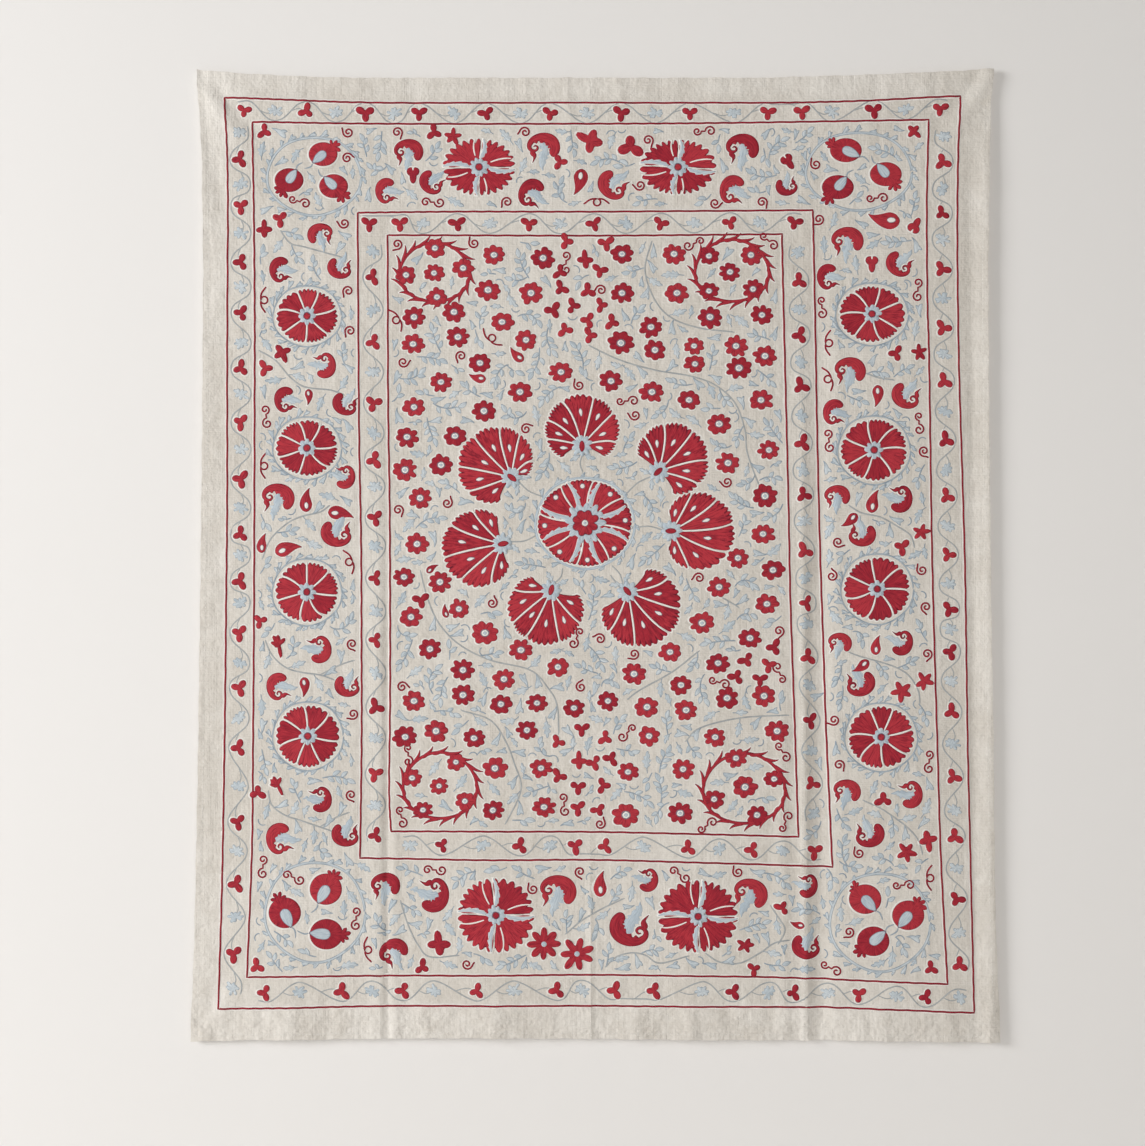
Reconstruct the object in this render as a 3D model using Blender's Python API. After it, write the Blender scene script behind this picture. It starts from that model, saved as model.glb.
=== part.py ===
"""An embroidered suzani wall hanging: four narrow woven strips sewn edge to edge, hanging by its top edge.

Metres, +Z up. The origin is the middle of the top edge. The embroidered face looks along -Y and the back of the
cloth along +Y, where the wall would be. Each strip is one solid, with its turned hem and its folds.
"""

from collections import namedtuple

import bpy
import numpy as np

# The cloth
CLOTH_THICKNESS = 0.0018
HEM_THICKNESS = 0.0030
HEM_WIDTH = 0.012
SEAM_GAP = 0.0003
STRIP_NAMES = ("strip_left", "strip_left_middle", "strip_right_middle", "strip_right")

# Where the side edges and the three seams stand at each height
Station = namedtuple("Station", "z left seam_1 seam_2 seam_3 right")
STATIONS = (
    Station(0.019, -0.798, -0.414, -0.030, 0.372, 0.798),
    Station(-0.045, -0.794, -0.414, -0.028, 0.376, 0.793),
    Station(-0.145, -0.787, -0.415, -0.026, 0.384, 0.789),
    Station(-0.380, -0.784, -0.415, -0.022, 0.398, 0.786),
    Station(-0.705, -0.786, -0.415, -0.018, 0.408, 0.788),
    Station(-1.045, -0.790, -0.414, -0.014, 0.412, 0.792),
    Station(-1.345, -0.794, -0.414, -0.011, 0.414, 0.797),
    Station(-1.645, -0.800, -0.414, -0.009, 0.416, 0.800),
    Station(-1.765, -0.803, -0.414, -0.008, 0.417, 0.804),
    Station(-1.931, -0.810, -0.414, -0.008, 0.418, 0.812),
)

# The top and bottom edges: the corners are pulled up and the middle hangs a little lower
EdgePoint = namedtuple("EdgePoint", "x z")
TOP_EDGE = (
    EdgePoint(-0.798, 0.017),
    EdgePoint(-0.710, 0.009),
    EdgePoint(-0.590, 0.003),
    EdgePoint(-0.480, 0.000),
    EdgePoint(0.330, 0.000),
    EdgePoint(0.510, 0.005),
    EdgePoint(0.710, 0.013),
    EdgePoint(0.798, 0.019),
)
BOTTOM_EDGE = (
    EdgePoint(-0.810, -1.929),
    EdgePoint(-0.690, -1.925),
    EdgePoint(-0.230, -1.921),
    EdgePoint(-0.010, -1.923),
    EdgePoint(0.310, -1.925),
    EdgePoint(0.610, -1.927),
    EdgePoint(0.812, -1.931),
)

# Folds: each is a soft ridge, or a trough where its rise is below zero, along a straight run of the cloth.
# fade_in and fade_out are the lengths over which it grows from its start and dies at its end.
Fold = namedtuple("Fold", "x z end_x end_z width rise fade_in fade_out")
SEAM_FOLDS = (
    Fold(-0.448, -0.50, -0.442, -1.95, 0.024, 0.0040, 0.60, 0.01),
    Fold(-0.417, -0.25, -0.416, -1.95, 0.006, -0.0050, 0.70, 0.01),
    Fold(-0.400, -0.85, -0.398, -1.95, 0.009, 0.0026, 0.60, 0.01),
    Fold(-0.055, 0.02, -0.045, -0.30, 0.012, 0.0016, 0.01, 0.20),
    Fold(-0.011, -1.35, -0.008, -1.95, 0.005, 0.0020, 0.40, 0.01),
    Fold(0.404, -0.35, 0.416, -1.95, 0.011, 0.0060, 0.70, 0.01),
    Fold(0.436, -0.05, 0.443, -1.95, 0.013, -0.0042, 0.40, 0.01),
    Fold(0.462, -0.25, 0.474, -1.70, 0.014, 0.0022, 0.30, 0.50),
)
EDGE_FOLDS = (
    Fold(0.783, -0.04, 0.794, -1.95, 0.014, 0.0042, 0.15, 0.01),
    Fold(0.752, -0.10, 0.762, -1.95, 0.010, -0.0020, 0.20, 0.01),
    Fold(-0.772, -0.30, -0.788, -1.95, 0.014, 0.0022, 0.30, 0.01),
)
CORNER_FOLDS = (
    Fold(-0.800, 0.018, -0.610, -0.170, 0.013, -0.0060, 0.01, 0.12),
    Fold(-0.790, 0.005, -0.660, -0.215, 0.014, 0.0048, 0.03, 0.12),
    Fold(-0.797, -0.010, -0.715, -0.400, 0.016, -0.0050, 0.02, 0.20),
    Fold(0.800, 0.018, 0.690, -0.105, 0.011, 0.0050, 0.01, 0.06),
    Fold(0.775, 0.018, 0.665, -0.085, 0.011, -0.0040, 0.01, 0.06),
    Fold(-0.812, -1.935, -0.715, -1.750, 0.013, -0.0048, 0.01, 0.10),
    Fold(-0.790, -1.935, -0.690, -1.770, 0.013, 0.0036, 0.01, 0.10),
)
# Short creases that run in from the left edge, rising a little towards the middle
CREASE_HEIGHTS = (-0.310, -0.524, -0.685, -0.905, -1.103, -1.323, -1.515, -1.605, -1.710)
CREASE_LENGTH = 0.090
CREASE_RISES = (0.000, 0.002, 0.004, 0.006, 0.010, 0.012, 0.020, 0.026, 0.034)
# Puckers along the bottom hem and the top edge
BOTTOM_PUCKERS = (-0.705, -0.610, -0.540, -0.340, -0.282, -0.205, -0.128, 0.078, 0.142, 0.196, 0.268, 0.330,
                  0.512, 0.573, 0.640, 0.708)
TOP_PUCKERS = (-0.560, -0.470, -0.365, -0.250, -0.160, 0.045, 0.130, 0.240, 0.330, 0.455, 0.560, 0.655)
PUCKER_HEIGHT = 0.130
PUCKER_WIDTH = 0.014
BOTTOM_PUCKER_RISE = 0.0026
TOP_PUCKER_RISE = 0.0014

# The whole cloth swells forward a little between its seams, more towards the bottom
SWELL = 0.005
SWELL_FLAT_TOP = 0.10
CLOTH_HEIGHT = 1.93

# The mesh of one strip: close together at its seams and hems
COLUMNS = (0.0, 0.030, 0.055, 0.085, 0.125, 0.19, 0.30, 0.42, 0.55, 0.68, 0.80, 0.875, 0.915, 0.945, 0.970, 1.0)
ROW_COUNT = 36

COTTON_COLOUR = (0.66, 0.62, 0.55, 1.0)
COTTON_ROUGHNESS = 0.9


def clear_scene():
    for obj in list(bpy.data.objects):
        bpy.data.objects.remove(obj, do_unlink=True)


def cotton():
    material = bpy.data.materials.new("natural_cotton")
    material.use_nodes = True
    shader = material.node_tree.nodes["Principled BSDF"]
    shader.inputs["Base Color"].default_value = COTTON_COLOUR
    shader.inputs["Roughness"].default_value = COTTON_ROUGHNESS
    shader.inputs["Metallic"].default_value = 0.0
    return material


def smooth_step(t):
    t = np.clip(t, 0.0, 1.0)
    return t * t * (3 - 2 * t)


def column_at(z, name):
    """The x of a side edge or a seam at heights z, between the stations."""
    heights = [station.z for station in reversed(STATIONS)]
    places = [getattr(station, name) for station in reversed(STATIONS)]
    return np.interp(z, heights, places)


def edge_at(x, points):
    """The z of the top or bottom edge at places x."""
    return np.interp(x, [point.x for point in points], [point.z for point in points])


def hem_creases():
    """The short folds at the left edge and the puckers of the top and bottom, as rows of the fold table."""
    folds = []
    for number, (z, climb) in enumerate(zip(CREASE_HEIGHTS, CREASE_RISES)):
        rise = -0.0026 if number % 2 else -0.0018
        left = float(column_at(z, "left"))
        folds.append(Fold(left, z, left + CREASE_LENGTH, z + climb, 0.006, rise, 0.01, 0.06))
    for number, x in enumerate(BOTTOM_PUCKERS):
        rise = BOTTOM_PUCKER_RISE * (1.0 if number % 2 else -0.8)
        lean = 0.006 * ((number % 3) - 1)
        folds.append(Fold(x, -1.95, x + lean, -1.95 + PUCKER_HEIGHT, PUCKER_WIDTH, rise, 0.01, 0.07))
    for number, x in enumerate(TOP_PUCKERS):
        rise = TOP_PUCKER_RISE * (1.0 if number % 2 else -0.8)
        lean = 0.005 * ((number % 3) - 1)
        folds.append(Fold(x, 0.02, x + lean, 0.02 - PUCKER_HEIGHT, PUCKER_WIDTH, rise, 0.01, 0.08))
    return tuple(folds)


def fold_rise(x, z, fold):
    """How far one fold lifts the cloth: a bell across its run, faded at its two ends."""
    run_x = fold.end_x - fold.x
    run_z = fold.end_z - fold.z
    length = np.hypot(run_x, run_z)
    along = ((x - fold.x) * run_x + (z - fold.z) * run_z) / length
    across = ((x - fold.x) * run_z - (z - fold.z) * run_x) / length
    fade = smooth_step(along / fold.fade_in) * smooth_step((length - along) / fold.fade_out)
    return fold.rise * fade * np.exp(-((across / fold.width) ** 2))


def relief(x, z, folds):
    """How far the cloth's face stands forward of its plane at (x, z)."""
    down = np.clip((-z - SWELL_FLAT_TOP) / (CLOTH_HEIGHT - SWELL_FLAT_TOP), 0.0, 1.0)
    left = column_at(z, "left")
    right = column_at(z, "right")
    strips = 4 * (x - left) / (right - left)
    total = SWELL * down * (0.5 - 0.5 * np.cos(2 * np.pi * strips))
    for fold in folds:
        total = total + fold_rise(x, z, fold)
    return total


def hem_share(x, z, left_hem, right_hem):
    """1 on the turned hem at the bottom and at a side edge, 0 on the single cloth."""
    above_bottom = z - edge_at(x, BOTTOM_EDGE)
    nearest = above_bottom
    if left_hem:
        nearest = np.minimum(nearest, x - column_at(z, "left"))
    if right_hem:
        nearest = np.minimum(nearest, column_at(z, "right") - x)
    return 1 - smooth_step((nearest - HEM_WIDTH) / 0.002)


def strip_rows():
    """Shares of the height: even rows, with one more at the hem's upper edge."""
    rows = np.linspace(0.0, 1.0, ROW_COUNT)
    hem = 1 - HEM_WIDTH / CLOTH_HEIGHT
    upper = 1 - (HEM_WIDTH + 0.002) / CLOTH_HEIGHT
    return np.sort(np.concatenate([rows, [hem, upper]]))


def strip_surface(number, folds):
    """Front and back points of one strip, each an array of rows by columns by 3."""
    borders = ("left", "seam_1", "seam_2", "seam_3", "right")
    first, last = number == 0, number == len(STRIP_NAMES) - 1
    rows = strip_rows()[:, None]
    columns = np.array(COLUMNS)[None, :]
    height = 0.018 - rows * (0.018 + CLOTH_HEIGHT)
    start = column_at(height, borders[number]) + (0.0 if first else SEAM_GAP / 2)
    end = column_at(height, borders[number + 1]) - (0.0 if last else SEAM_GAP / 2)
    x = start + columns * (end - start)
    top, bottom = edge_at(x, TOP_EDGE), edge_at(x, BOTTOM_EDGE)
    z = top + rows * (bottom - top)
    thickness = CLOTH_THICKNESS + (HEM_THICKNESS - CLOTH_THICKNESS) * hem_share(x, z, first, last)
    face = -CLOTH_THICKNESS - relief(x, z, folds)
    front = np.stack([x, face, z], axis=-1)
    back = np.stack([x, face + thickness, z], axis=-1)
    return front, back


def strip_mesh(name, front, back):
    """One closed mesh: the front and back grids, and a wall round their shared rim."""
    rows, columns = front.shape[:2]
    count = rows * columns
    index = np.arange(count).reshape(rows, columns)
    a, b = index[:-1, :-1].ravel(), index[:-1, 1:].ravel()
    c, d = index[1:, 1:].ravel(), index[1:, :-1].ravel()
    faces = [np.stack([a, d, c, b], axis=1), np.stack([a, b, c, d], axis=1) + count]
    rim = np.concatenate([index[0, :-1], index[:-1, -1], index[-1, :0:-1], index[:0:-1, 0]])
    ahead = np.roll(rim, -1)
    faces.append(np.stack([rim, ahead, ahead + count, rim + count], axis=1))
    points = np.concatenate([front.reshape(-1, 3), back.reshape(-1, 3)])
    mesh = bpy.data.meshes.new(name)
    mesh.from_pydata(points.tolist(), [], np.concatenate(faces).tolist())
    mesh.shade_smooth()
    mesh.set_sharp_from_angle(angle=np.radians(40))
    return mesh


def make_strips():
    folds = SEAM_FOLDS + EDGE_FOLDS + CORNER_FOLDS + hem_creases()
    hanging = bpy.data.objects.new("hanging", None)
    bpy.context.scene.collection.objects.link(hanging)
    material = cotton()
    for number, name in enumerate(STRIP_NAMES):
        front, back = strip_surface(number, folds)
        mesh = strip_mesh(name, front, back)
        mesh.materials.append(material)
        strip = bpy.data.objects.new(name, mesh)
        strip.parent = hanging
        bpy.context.scene.collection.objects.link(strip)


clear_scene()
make_strips()
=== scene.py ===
"""An embroidered suzani hanging: four strips of hand-woven cotton with silk motifs laid and couched on them.

Metres, +Z up, and the embroidered face looks along -Y. The pattern is placed in units of 2 mm, which are
counted across from the left of the view and down from its top. Heights of thread above the cloth are in
millimetres. Directions of motifs are in degrees: 0 points right, 90 down, 180 left and 270 up.
"""

from collections import namedtuple

import bpy
import numpy as np
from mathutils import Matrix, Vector


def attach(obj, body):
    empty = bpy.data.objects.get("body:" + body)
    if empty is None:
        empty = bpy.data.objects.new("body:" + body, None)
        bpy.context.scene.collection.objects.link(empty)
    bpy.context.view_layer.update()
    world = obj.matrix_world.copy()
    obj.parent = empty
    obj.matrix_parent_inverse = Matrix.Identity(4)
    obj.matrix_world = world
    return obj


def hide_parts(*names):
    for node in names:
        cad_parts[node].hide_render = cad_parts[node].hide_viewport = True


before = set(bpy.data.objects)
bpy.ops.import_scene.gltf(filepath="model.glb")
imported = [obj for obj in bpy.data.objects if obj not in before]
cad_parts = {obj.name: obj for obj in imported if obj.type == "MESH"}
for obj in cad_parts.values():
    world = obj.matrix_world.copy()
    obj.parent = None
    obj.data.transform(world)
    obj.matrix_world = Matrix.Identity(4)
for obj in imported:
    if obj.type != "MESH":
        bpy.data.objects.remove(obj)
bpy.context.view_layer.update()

# The pattern's units
UNIT = 0.002
MIDDLE_ACROSS = 595.0
TOP_DOWN = 77.5
MILLIMETRE = 0.001

# The cloth, as in the part's source
CLOTH_THICKNESS = 0.0018
HEM_THICKNESS = 0.0030
HEM_WIDTH = 0.012
SEAM_GAP = 0.0003
STRIP_NAMES = ("strip_left", "strip_left_middle", "strip_right_middle", "strip_right")

Station = namedtuple("Station", "z left seam_1 seam_2 seam_3 right")
STATIONS = (
    Station(0.019, -0.798, -0.414, -0.030, 0.372, 0.798),
    Station(-0.045, -0.794, -0.414, -0.028, 0.376, 0.793),
    Station(-0.145, -0.787, -0.415, -0.026, 0.384, 0.789),
    Station(-0.380, -0.784, -0.415, -0.022, 0.398, 0.786),
    Station(-0.705, -0.786, -0.415, -0.018, 0.408, 0.788),
    Station(-1.045, -0.790, -0.414, -0.014, 0.412, 0.792),
    Station(-1.345, -0.794, -0.414, -0.011, 0.414, 0.797),
    Station(-1.645, -0.800, -0.414, -0.009, 0.416, 0.800),
    Station(-1.765, -0.803, -0.414, -0.008, 0.417, 0.804),
    Station(-1.931, -0.810, -0.414, -0.008, 0.418, 0.812),
)
EdgePoint = namedtuple("EdgePoint", "x z")
TOP_EDGE = (
    EdgePoint(-0.798, 0.017), EdgePoint(-0.710, 0.009), EdgePoint(-0.590, 0.003), EdgePoint(-0.480, 0.000),
    EdgePoint(0.330, 0.000), EdgePoint(0.510, 0.005), EdgePoint(0.710, 0.013), EdgePoint(0.798, 0.019),
)
BOTTOM_EDGE = (
    EdgePoint(-0.810, -1.929), EdgePoint(-0.690, -1.925), EdgePoint(-0.230, -1.921),
    EdgePoint(-0.010, -1.923), EdgePoint(0.310, -1.925), EdgePoint(0.610, -1.927), EdgePoint(0.812, -1.931),
)

# Folds: those of the part's source, a little softer beside the seams and at the corners
Fold = namedtuple("Fold", "x z end_x end_z width rise fade_in fade_out")
SEAM_FOLDS = (
    Fold(-0.436, -0.50, -0.432, -1.95, 0.018, 0.0024, 0.60, 0.01),
    Fold(-0.418, -0.60, -0.417, -1.95, 0.005, -0.0026, 0.70, 0.01),
    Fold(-0.400, -0.85, -0.398, -1.95, 0.009, 0.0014, 0.60, 0.01),
    Fold(-0.055, 0.02, -0.045, -0.30, 0.012, 0.0016, 0.01, 0.20),
    Fold(-0.011, -1.35, -0.008, -1.95, 0.005, 0.0020, 0.40, 0.01),
    Fold(0.370, -0.95, 0.378, -1.95, 0.014, 0.0024, 0.50, 0.01),
    Fold(0.412, -0.35, 0.423, -1.95, 0.009, 0.0040, 0.90, 0.01),
    Fold(0.446, -0.05, 0.454, -1.95, 0.019, -0.0044, 0.90, 0.01),
    Fold(0.480, -0.25, 0.490, -1.70, 0.014, 0.0012, 0.30, 0.50),
)
EDGE_FOLDS = (
    Fold(0.783, -0.04, 0.794, -1.95, 0.014, 0.0042, 0.15, 0.01),
    Fold(0.752, -0.10, 0.762, -1.95, 0.010, -0.0020, 0.20, 0.01),
    Fold(-0.772, -0.30, -0.788, -1.95, 0.014, 0.0008, 0.30, 0.01),
)
CORNER_FOLDS = (
    Fold(-0.800, 0.018, -0.610, -0.170, 0.014, -0.0030, 0.01, 0.12),
    Fold(-0.790, 0.005, -0.660, -0.215, 0.015, 0.0024, 0.03, 0.12),
    Fold(-0.797, -0.010, -0.715, -0.400, 0.017, -0.0026, 0.02, 0.20),
    Fold(0.800, 0.018, 0.690, -0.145, 0.013, 0.0026, 0.01, 0.09),
    Fold(0.775, 0.018, 0.665, -0.125, 0.012, -0.0024, 0.01, 0.09),
    Fold(-0.812, -1.935, -0.715, -1.750, 0.014, -0.0018, 0.01, 0.10),
    Fold(-0.790, -1.935, -0.690, -1.770, 0.014, 0.0014, 0.01, 0.10),
)
CREASE_HEIGHTS = (-0.310, -0.524, -0.685, -0.905, -1.103, -1.323, -1.515, -1.605, -1.710)
CREASE_LENGTH = 0.090
CREASE_RISES = (0.000, 0.002, 0.004, 0.006, 0.010, 0.012, 0.020, 0.026, 0.034)
BOTTOM_PUCKERS = (-0.705, -0.610, -0.540, -0.340, -0.282, -0.205, -0.128, 0.078, 0.142, 0.196, 0.268, 0.330,
                  0.512, 0.573, 0.640, 0.708)
TOP_PUCKERS = (-0.560, -0.470, -0.365, -0.250, -0.160, 0.045, 0.130, 0.240, 0.330, 0.455, 0.560, 0.655)
PUCKER_HEIGHT = 0.130
PUCKER_WIDTH = 0.014
BOTTOM_PUCKER_RISE = 0.0026
TOP_PUCKER_RISE = 0.0014
SWELL = 0.005
SWELL_FLAT_TOP = 0.10
CLOTH_HEIGHT = 1.93
CLOTH_TOP = 0.018

# The fine mesh of the strips
FINE_ROWS = 200
SEAM_COLUMNS = 14
MIDDLE_COLUMNS = 30
SEAM_SHARE = 0.16

# Heights of thread above the cloth, and how deep its edge is sunk, in millimetres. Then, in units, the width
# over which it rounds off at its edge, on cloth and on other thread, and the width of a pale outline, which
# is partly thread and partly a painted highlight of the puckered cloth round a motif
OUTLINE_HEIGHT = 0.40
LEAF_HEIGHT = 0.60
VINE_HEIGHT = 0.80
RED_HEIGHT = 1.30
LINE_HEIGHT = 1.30
CENTRE_HEIGHT = 1.60
DIVIDER_HEIGHT = 1.75
SUNK = 0.12
ROUNDING = 1.3
SMALL_ROUNDING = 0.5
OUTLINE_WIDTH = 1.5
# Thread on top of red thread starts a little under its surface
ON_RED = RED_HEIGHT - 0.05

# The four red lines that frame the borders, side by side from the top left corner
Lines = namedtuple("Lines", "top right bottom left")
OUTER_LINES = Lines(
    top=((224, 97), (300, 100), (380, 102.5), (570, 102.5), (760, 102.5), (850, 101), (961, 95.5)),
    right=((961, 95.5), (958.5, 150), (957.5, 240), (959, 360), (962, 460), (965, 560), (966.5, 650),
           (968, 750), (970.5, 850), (973, 950), (974.5, 1013)),
    bottom=((218, 1009), (300, 1007.5), (400, 1006), (590, 1006), (700, 1006.5), (850, 1008),
            (974.5, 1013)),
    left=((224, 97), (226.5, 140), (227.5, 200), (227, 360), (227, 500), (226, 600), (225, 700),
          (223.5, 800), (221.5, 900), (218, 1009)),
)
SECOND_LINES = Lines(
    top=((252, 121.5), (380, 123.5), (600, 123.5), (740, 122.5), (929, 119.5)),
    right=((929, 119.5), (927, 200), (927.5, 300), (929, 350), (930.5, 450), (932, 550), (934.5, 650),
           (937.5, 750), (940.5, 850), (944.5, 930), (947.5, 984)),
    bottom=((247, 977), (340, 976), (480, 975.5), (590, 975), (740, 976.5), (850, 980), (947.5, 984)),
    left=((252, 121.5), (253.5, 200), (254.5, 300), (254.5, 400), (254, 600), (253, 750), (252, 850),
          (247, 977)),
)
THIRD_LINES = Lines(
    top=((357.5, 212.5), (460, 211.5), (600, 211.5), (813, 210)),
    right=((813, 210), (814, 250), (816, 350), (817.5, 430), (820.5, 550), (823.5, 640), (826, 720),
           (829.5, 800), (832.5, 867)),
    bottom=((360, 858), (480, 860), (590, 860), (700, 862.5), (832.5, 867)),
    left=((357.5, 212.5), (359, 430), (361, 540), (361.5, 650), (361.5, 750), (360, 858)),
)
INNER_LINES = Lines(
    top=((387.5, 235), (600, 235.5), (782, 234)),
    right=((782, 234), (783.5, 300), (786, 400), (788.5, 500), (790.5, 600), (794, 700), (796, 760),
           (798.5, 837)),
    bottom=((391, 831.5), (480, 831.5), (590, 832), (700, 834), (798.5, 837)),
    left=((387.5, 235), (388, 400), (389.5, 500), (390, 600), (390, 700), (389, 790), (391, 831.5)),
)
LINE_HALF_WIDTH = 1.25

# The narrow borders: places along each side of the red three-lobed leaves, and of the blue ones between them
OUTER_RED = Lines(
    top=(244, 306, 365, 419, 486, 550, 621, 690, 768, 802, 874, 941),
    right=(162, 213, 269, 328, 381, 440, 496, 555, 609, 652, 712, 777, 837, 899, 965),
    bottom=(265, 342, 403, 477, 557, 615, 654, 733, 794, 859, 926),
    left=(159, 206, 262, 313, 368, 422, 479, 534, 581, 633, 688, 748, 822, 884, 954),
)
OUTER_BLUE = Lines(
    top=(275, 336, 394, 454, 520, 587, 655, 734, 832, 906),
    right=(136, 189, 239, 298, 354, 411, 470, 526, 584, 629, 681, 744, 810, 868, 933),
    bottom=(300, 372, 434, 514, 582, 702, 769, 828, 896, 960),
    left=(132, 184, 233, 287, 343, 394, 449, 508, 555, 603, 663, 718, 786, 851, 917, 988),
)
INNER_RED = Lines(
    top=(369, 400, 457, 529, 594, 661, 730, 795),
    right=(281, 335, 386, 443, 495, 551, 603, 657, 721, 784),
    bottom=(442, 520, 575, 605, 688, 752, 815),
    left=(277, 342, 403, 460, 518, 578, 640, 707, 774, 835),
)
INNER_BLUE = Lines(
    top=(423, 490, 560, 626, 694, 760),
    right=(252, 309, 362, 416, 470, 521, 578, 624, 685, 751, 814),
    bottom=(410, 483, 550, 643, 719, 783),
    left=(251, 310, 372, 433, 487, 546, 611, 673, 738, 805),
)
# The way that the longest lobe of each side's red leaves points, and the way out from each side. Then how far
# the vine swings, and how far it goes on to both sides of the end of a swing
STEM_WAYS = Lines(top=90, right=150, bottom=180, left=180)
OUTWARD = Lines(top=(0, -1), right=(1, 0), bottom=(0, 1), left=(-1, 0))
WAVE = 8.0
WAVE_RUN = 7

# The field: its small flowers, the seven carnation fans and the round medallion
SMALL_FLOWERS = (
    (494, 255), (543, 258), (622, 254), (674, 254), (488, 290), (531, 293), (622, 293), (677, 293),
    (502, 322), (526, 340), (710, 317), (651, 327), (621, 343), (655, 350), (694, 346), (736, 346),
    (762, 315), (414, 317), (454, 312), (458, 337), (413, 344), (765, 356), (480, 363), (561, 372),
    (611, 381), (695, 364), (739, 368), (441, 382), (520, 392), (652, 392), (689, 400), (761, 400),
    (414, 407), (484, 411), (719, 424), (407, 437), (455, 436), (769, 450), (405, 470), (441, 465),
    (728, 463), (420, 498), (765, 496), (763, 534), (417, 544), (738, 558), (404, 577), (440, 582),
    (773, 570), (719, 587), (767, 604), (411, 617), (459, 609), (702, 623), (485, 633), (750, 638),
    (430, 649), (521, 650), (670, 652), (463, 670), (558, 667), (634, 674), (718, 663), (504, 679),
    (681, 685), (463, 695), (414, 701), (501, 704), (537, 703), (574, 708), (608, 701), (647, 707),
    (686, 710), (727, 698), (764, 696), (405, 737), (436, 731), (474, 738), (527, 730), (649, 736),
    (715, 737), (777, 731), (495, 768), (541, 768), (683, 769), (493, 810), (544, 807), (628, 772),
)
WREATH_FLOWERS = (
    (435, 248), (406, 275), (434, 273), (463, 268), (437, 297), (709, 256), (751, 255), (730, 272),
    (709, 291), (753, 289), (456, 762), (412, 778), (439, 786), (465, 801), (423, 810), (736, 758),
    (774, 779), (714, 799), (757, 815),
)
LARGER_FLOWERS = ((626, 815), (680, 813), (745, 787))
FLOWER_RADIUS = 12.4
WREATH_FLOWER_RADIUS = 11.0
LARGER_FLOWER_RADIUS = 13.8
FLOWER_SQUASH = 0.88

# Each carnation fan: its base, the way it opens, its reach forward and aside, its two ends and its petals
Fan = namedtuple("Fan", "across down way front side low high petals")
FANS = (
    Fan(582, 445, 270, 51, 34, -116, 116, 7),
    Fan(659, 471, 318, 54, 32, -100, 92, 6),
    Fan(672, 531, 0, 63, 27, -98, 98, 6),
    Fan(628, 592, 50, 60, 35, -94, 96, 6),
    Fan(551, 591, 106, 55, 33, -92, 106, 6),
    Fan(502, 544, 170, 61, 29, -94, 88, 6),
    Fan(511, 477, 218, 57, 34, -96, 134, 7),
)
MEDALLION = (585, 523)
MEDALLION_SIZE = (47, 43)

# The wide border: round rosettes and jagged four-part rosettes by place and half sizes, pomegranates by
# place, way of the crown, half width and share of height, and the leafy rings round them
ROSETTES = ((307, 316, 31, 27), (307, 448, 31, 28), (307, 592, 31.5, 30), (308, 736, 32, 31),
            (872, 314, 33, 28), (874, 450, 33, 31), (877, 589, 33, 32), (881, 737, 33, 31))
JAGGED_ROSETTES = ((479, 167, 37, 29), (678, 167, 39, 28), (496, 915, 39, 38), (698, 916, 41, 37))
POMEGRANATES = (
    (323, 154, 320, 14.8, 0.83), (289, 180, 125, 14.8, 0.83), (333.5, 186, 45, 14.8, 0.83),
    (846, 150, 205, 16.3, 0.76), (838, 187, 130, 16.3, 0.76), (886, 174, 50, 16.3, 0.76),
    (285, 912.5, 245, 16.6, 0.95), (326, 889, 300, 16.4, 0.98), (326.5, 934, 5, 17.0, 0.92),
    (865, 899, 228, 16.5, 0.92), (908, 915, 310, 16.5, 0.92), (873, 941, 140, 16.5, 0.92),
)
POMEGRANATE_RINGS = ((314, 176, 47, 39), (859, 171, 53, 39), (315, 912, 50, 50), (880, 922, 50, 49))
# The field's wreaths, by place and half sizes
WREATHS = ((434.5, 272.5, 35, 29.5), (732, 271, 37, 31), (440, 786, 37, 33), (744, 789, 41, 35))

# Botehs: place, width, the way in which the hollow opens, and the side of the spiral end (1 or -1)
BOTEHS = (
    (408, 149, 32, 90, 1), (430, 184, 28, 315, 1), (384, 191, 28, 0, 1), (543, 144, 36, 90, 1),
    (529, 192, 32, 30, 1), (611, 187, 34, 315, 1), (742, 145, 36, 90, 1), (730, 189, 32, 20, 1),
    (787, 188, 24, 270, 1), (320, 232, 28, 80, -1), (278, 270, 28, 0, 1), (339, 270, 27, 290, 1),
    (847, 238, 35, 90, 1), (898, 266, 30, 310, 1), (826, 277, 28, 0, 1), (327, 365, 28, 180, 1),
    (283, 400, 28, 0, 1), (344, 406, 28, 300, 1), (347, 477, 26, 190, 1), (278, 495, 36, 100, 1),
    (336, 536, 34, 285, 1), (322, 649, 30, 180, 1), (276, 687, 30, 0, 1), (347, 688, 28, 285, 1),
    (323, 799, 28, 180, 1), (277, 839, 34, 0, 1), (345, 837, 30, 285, 1), (385, 883, 32, 90, 1),
    (437, 895, 38, 190, 1), (392, 950, 32, 60, 1), (558, 888, 40, 100, 1), (650, 880, 26, 190, 1),
    (629, 932, 44, 290, 1), (751, 891, 38, 110, 1), (810, 886, 26, 190, 1), (806, 949, 32, 285, 1),
    (850, 368, 34, 95, 1), (905, 398, 32, 300, 1), (832, 412, 28, 10, 1), (837, 494, 28, 90, 1),
    (903, 499, 30, 190, 1), (862, 537, 30, 265, -1), (840, 641, 26, 100, 1), (904, 643, 28, 195, 1),
    (861, 686, 32, 250, -1), (847, 789, 30, 100, 1), (913, 794, 30, 180, 1), (870, 837, 32, 255, -1),
)
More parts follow.
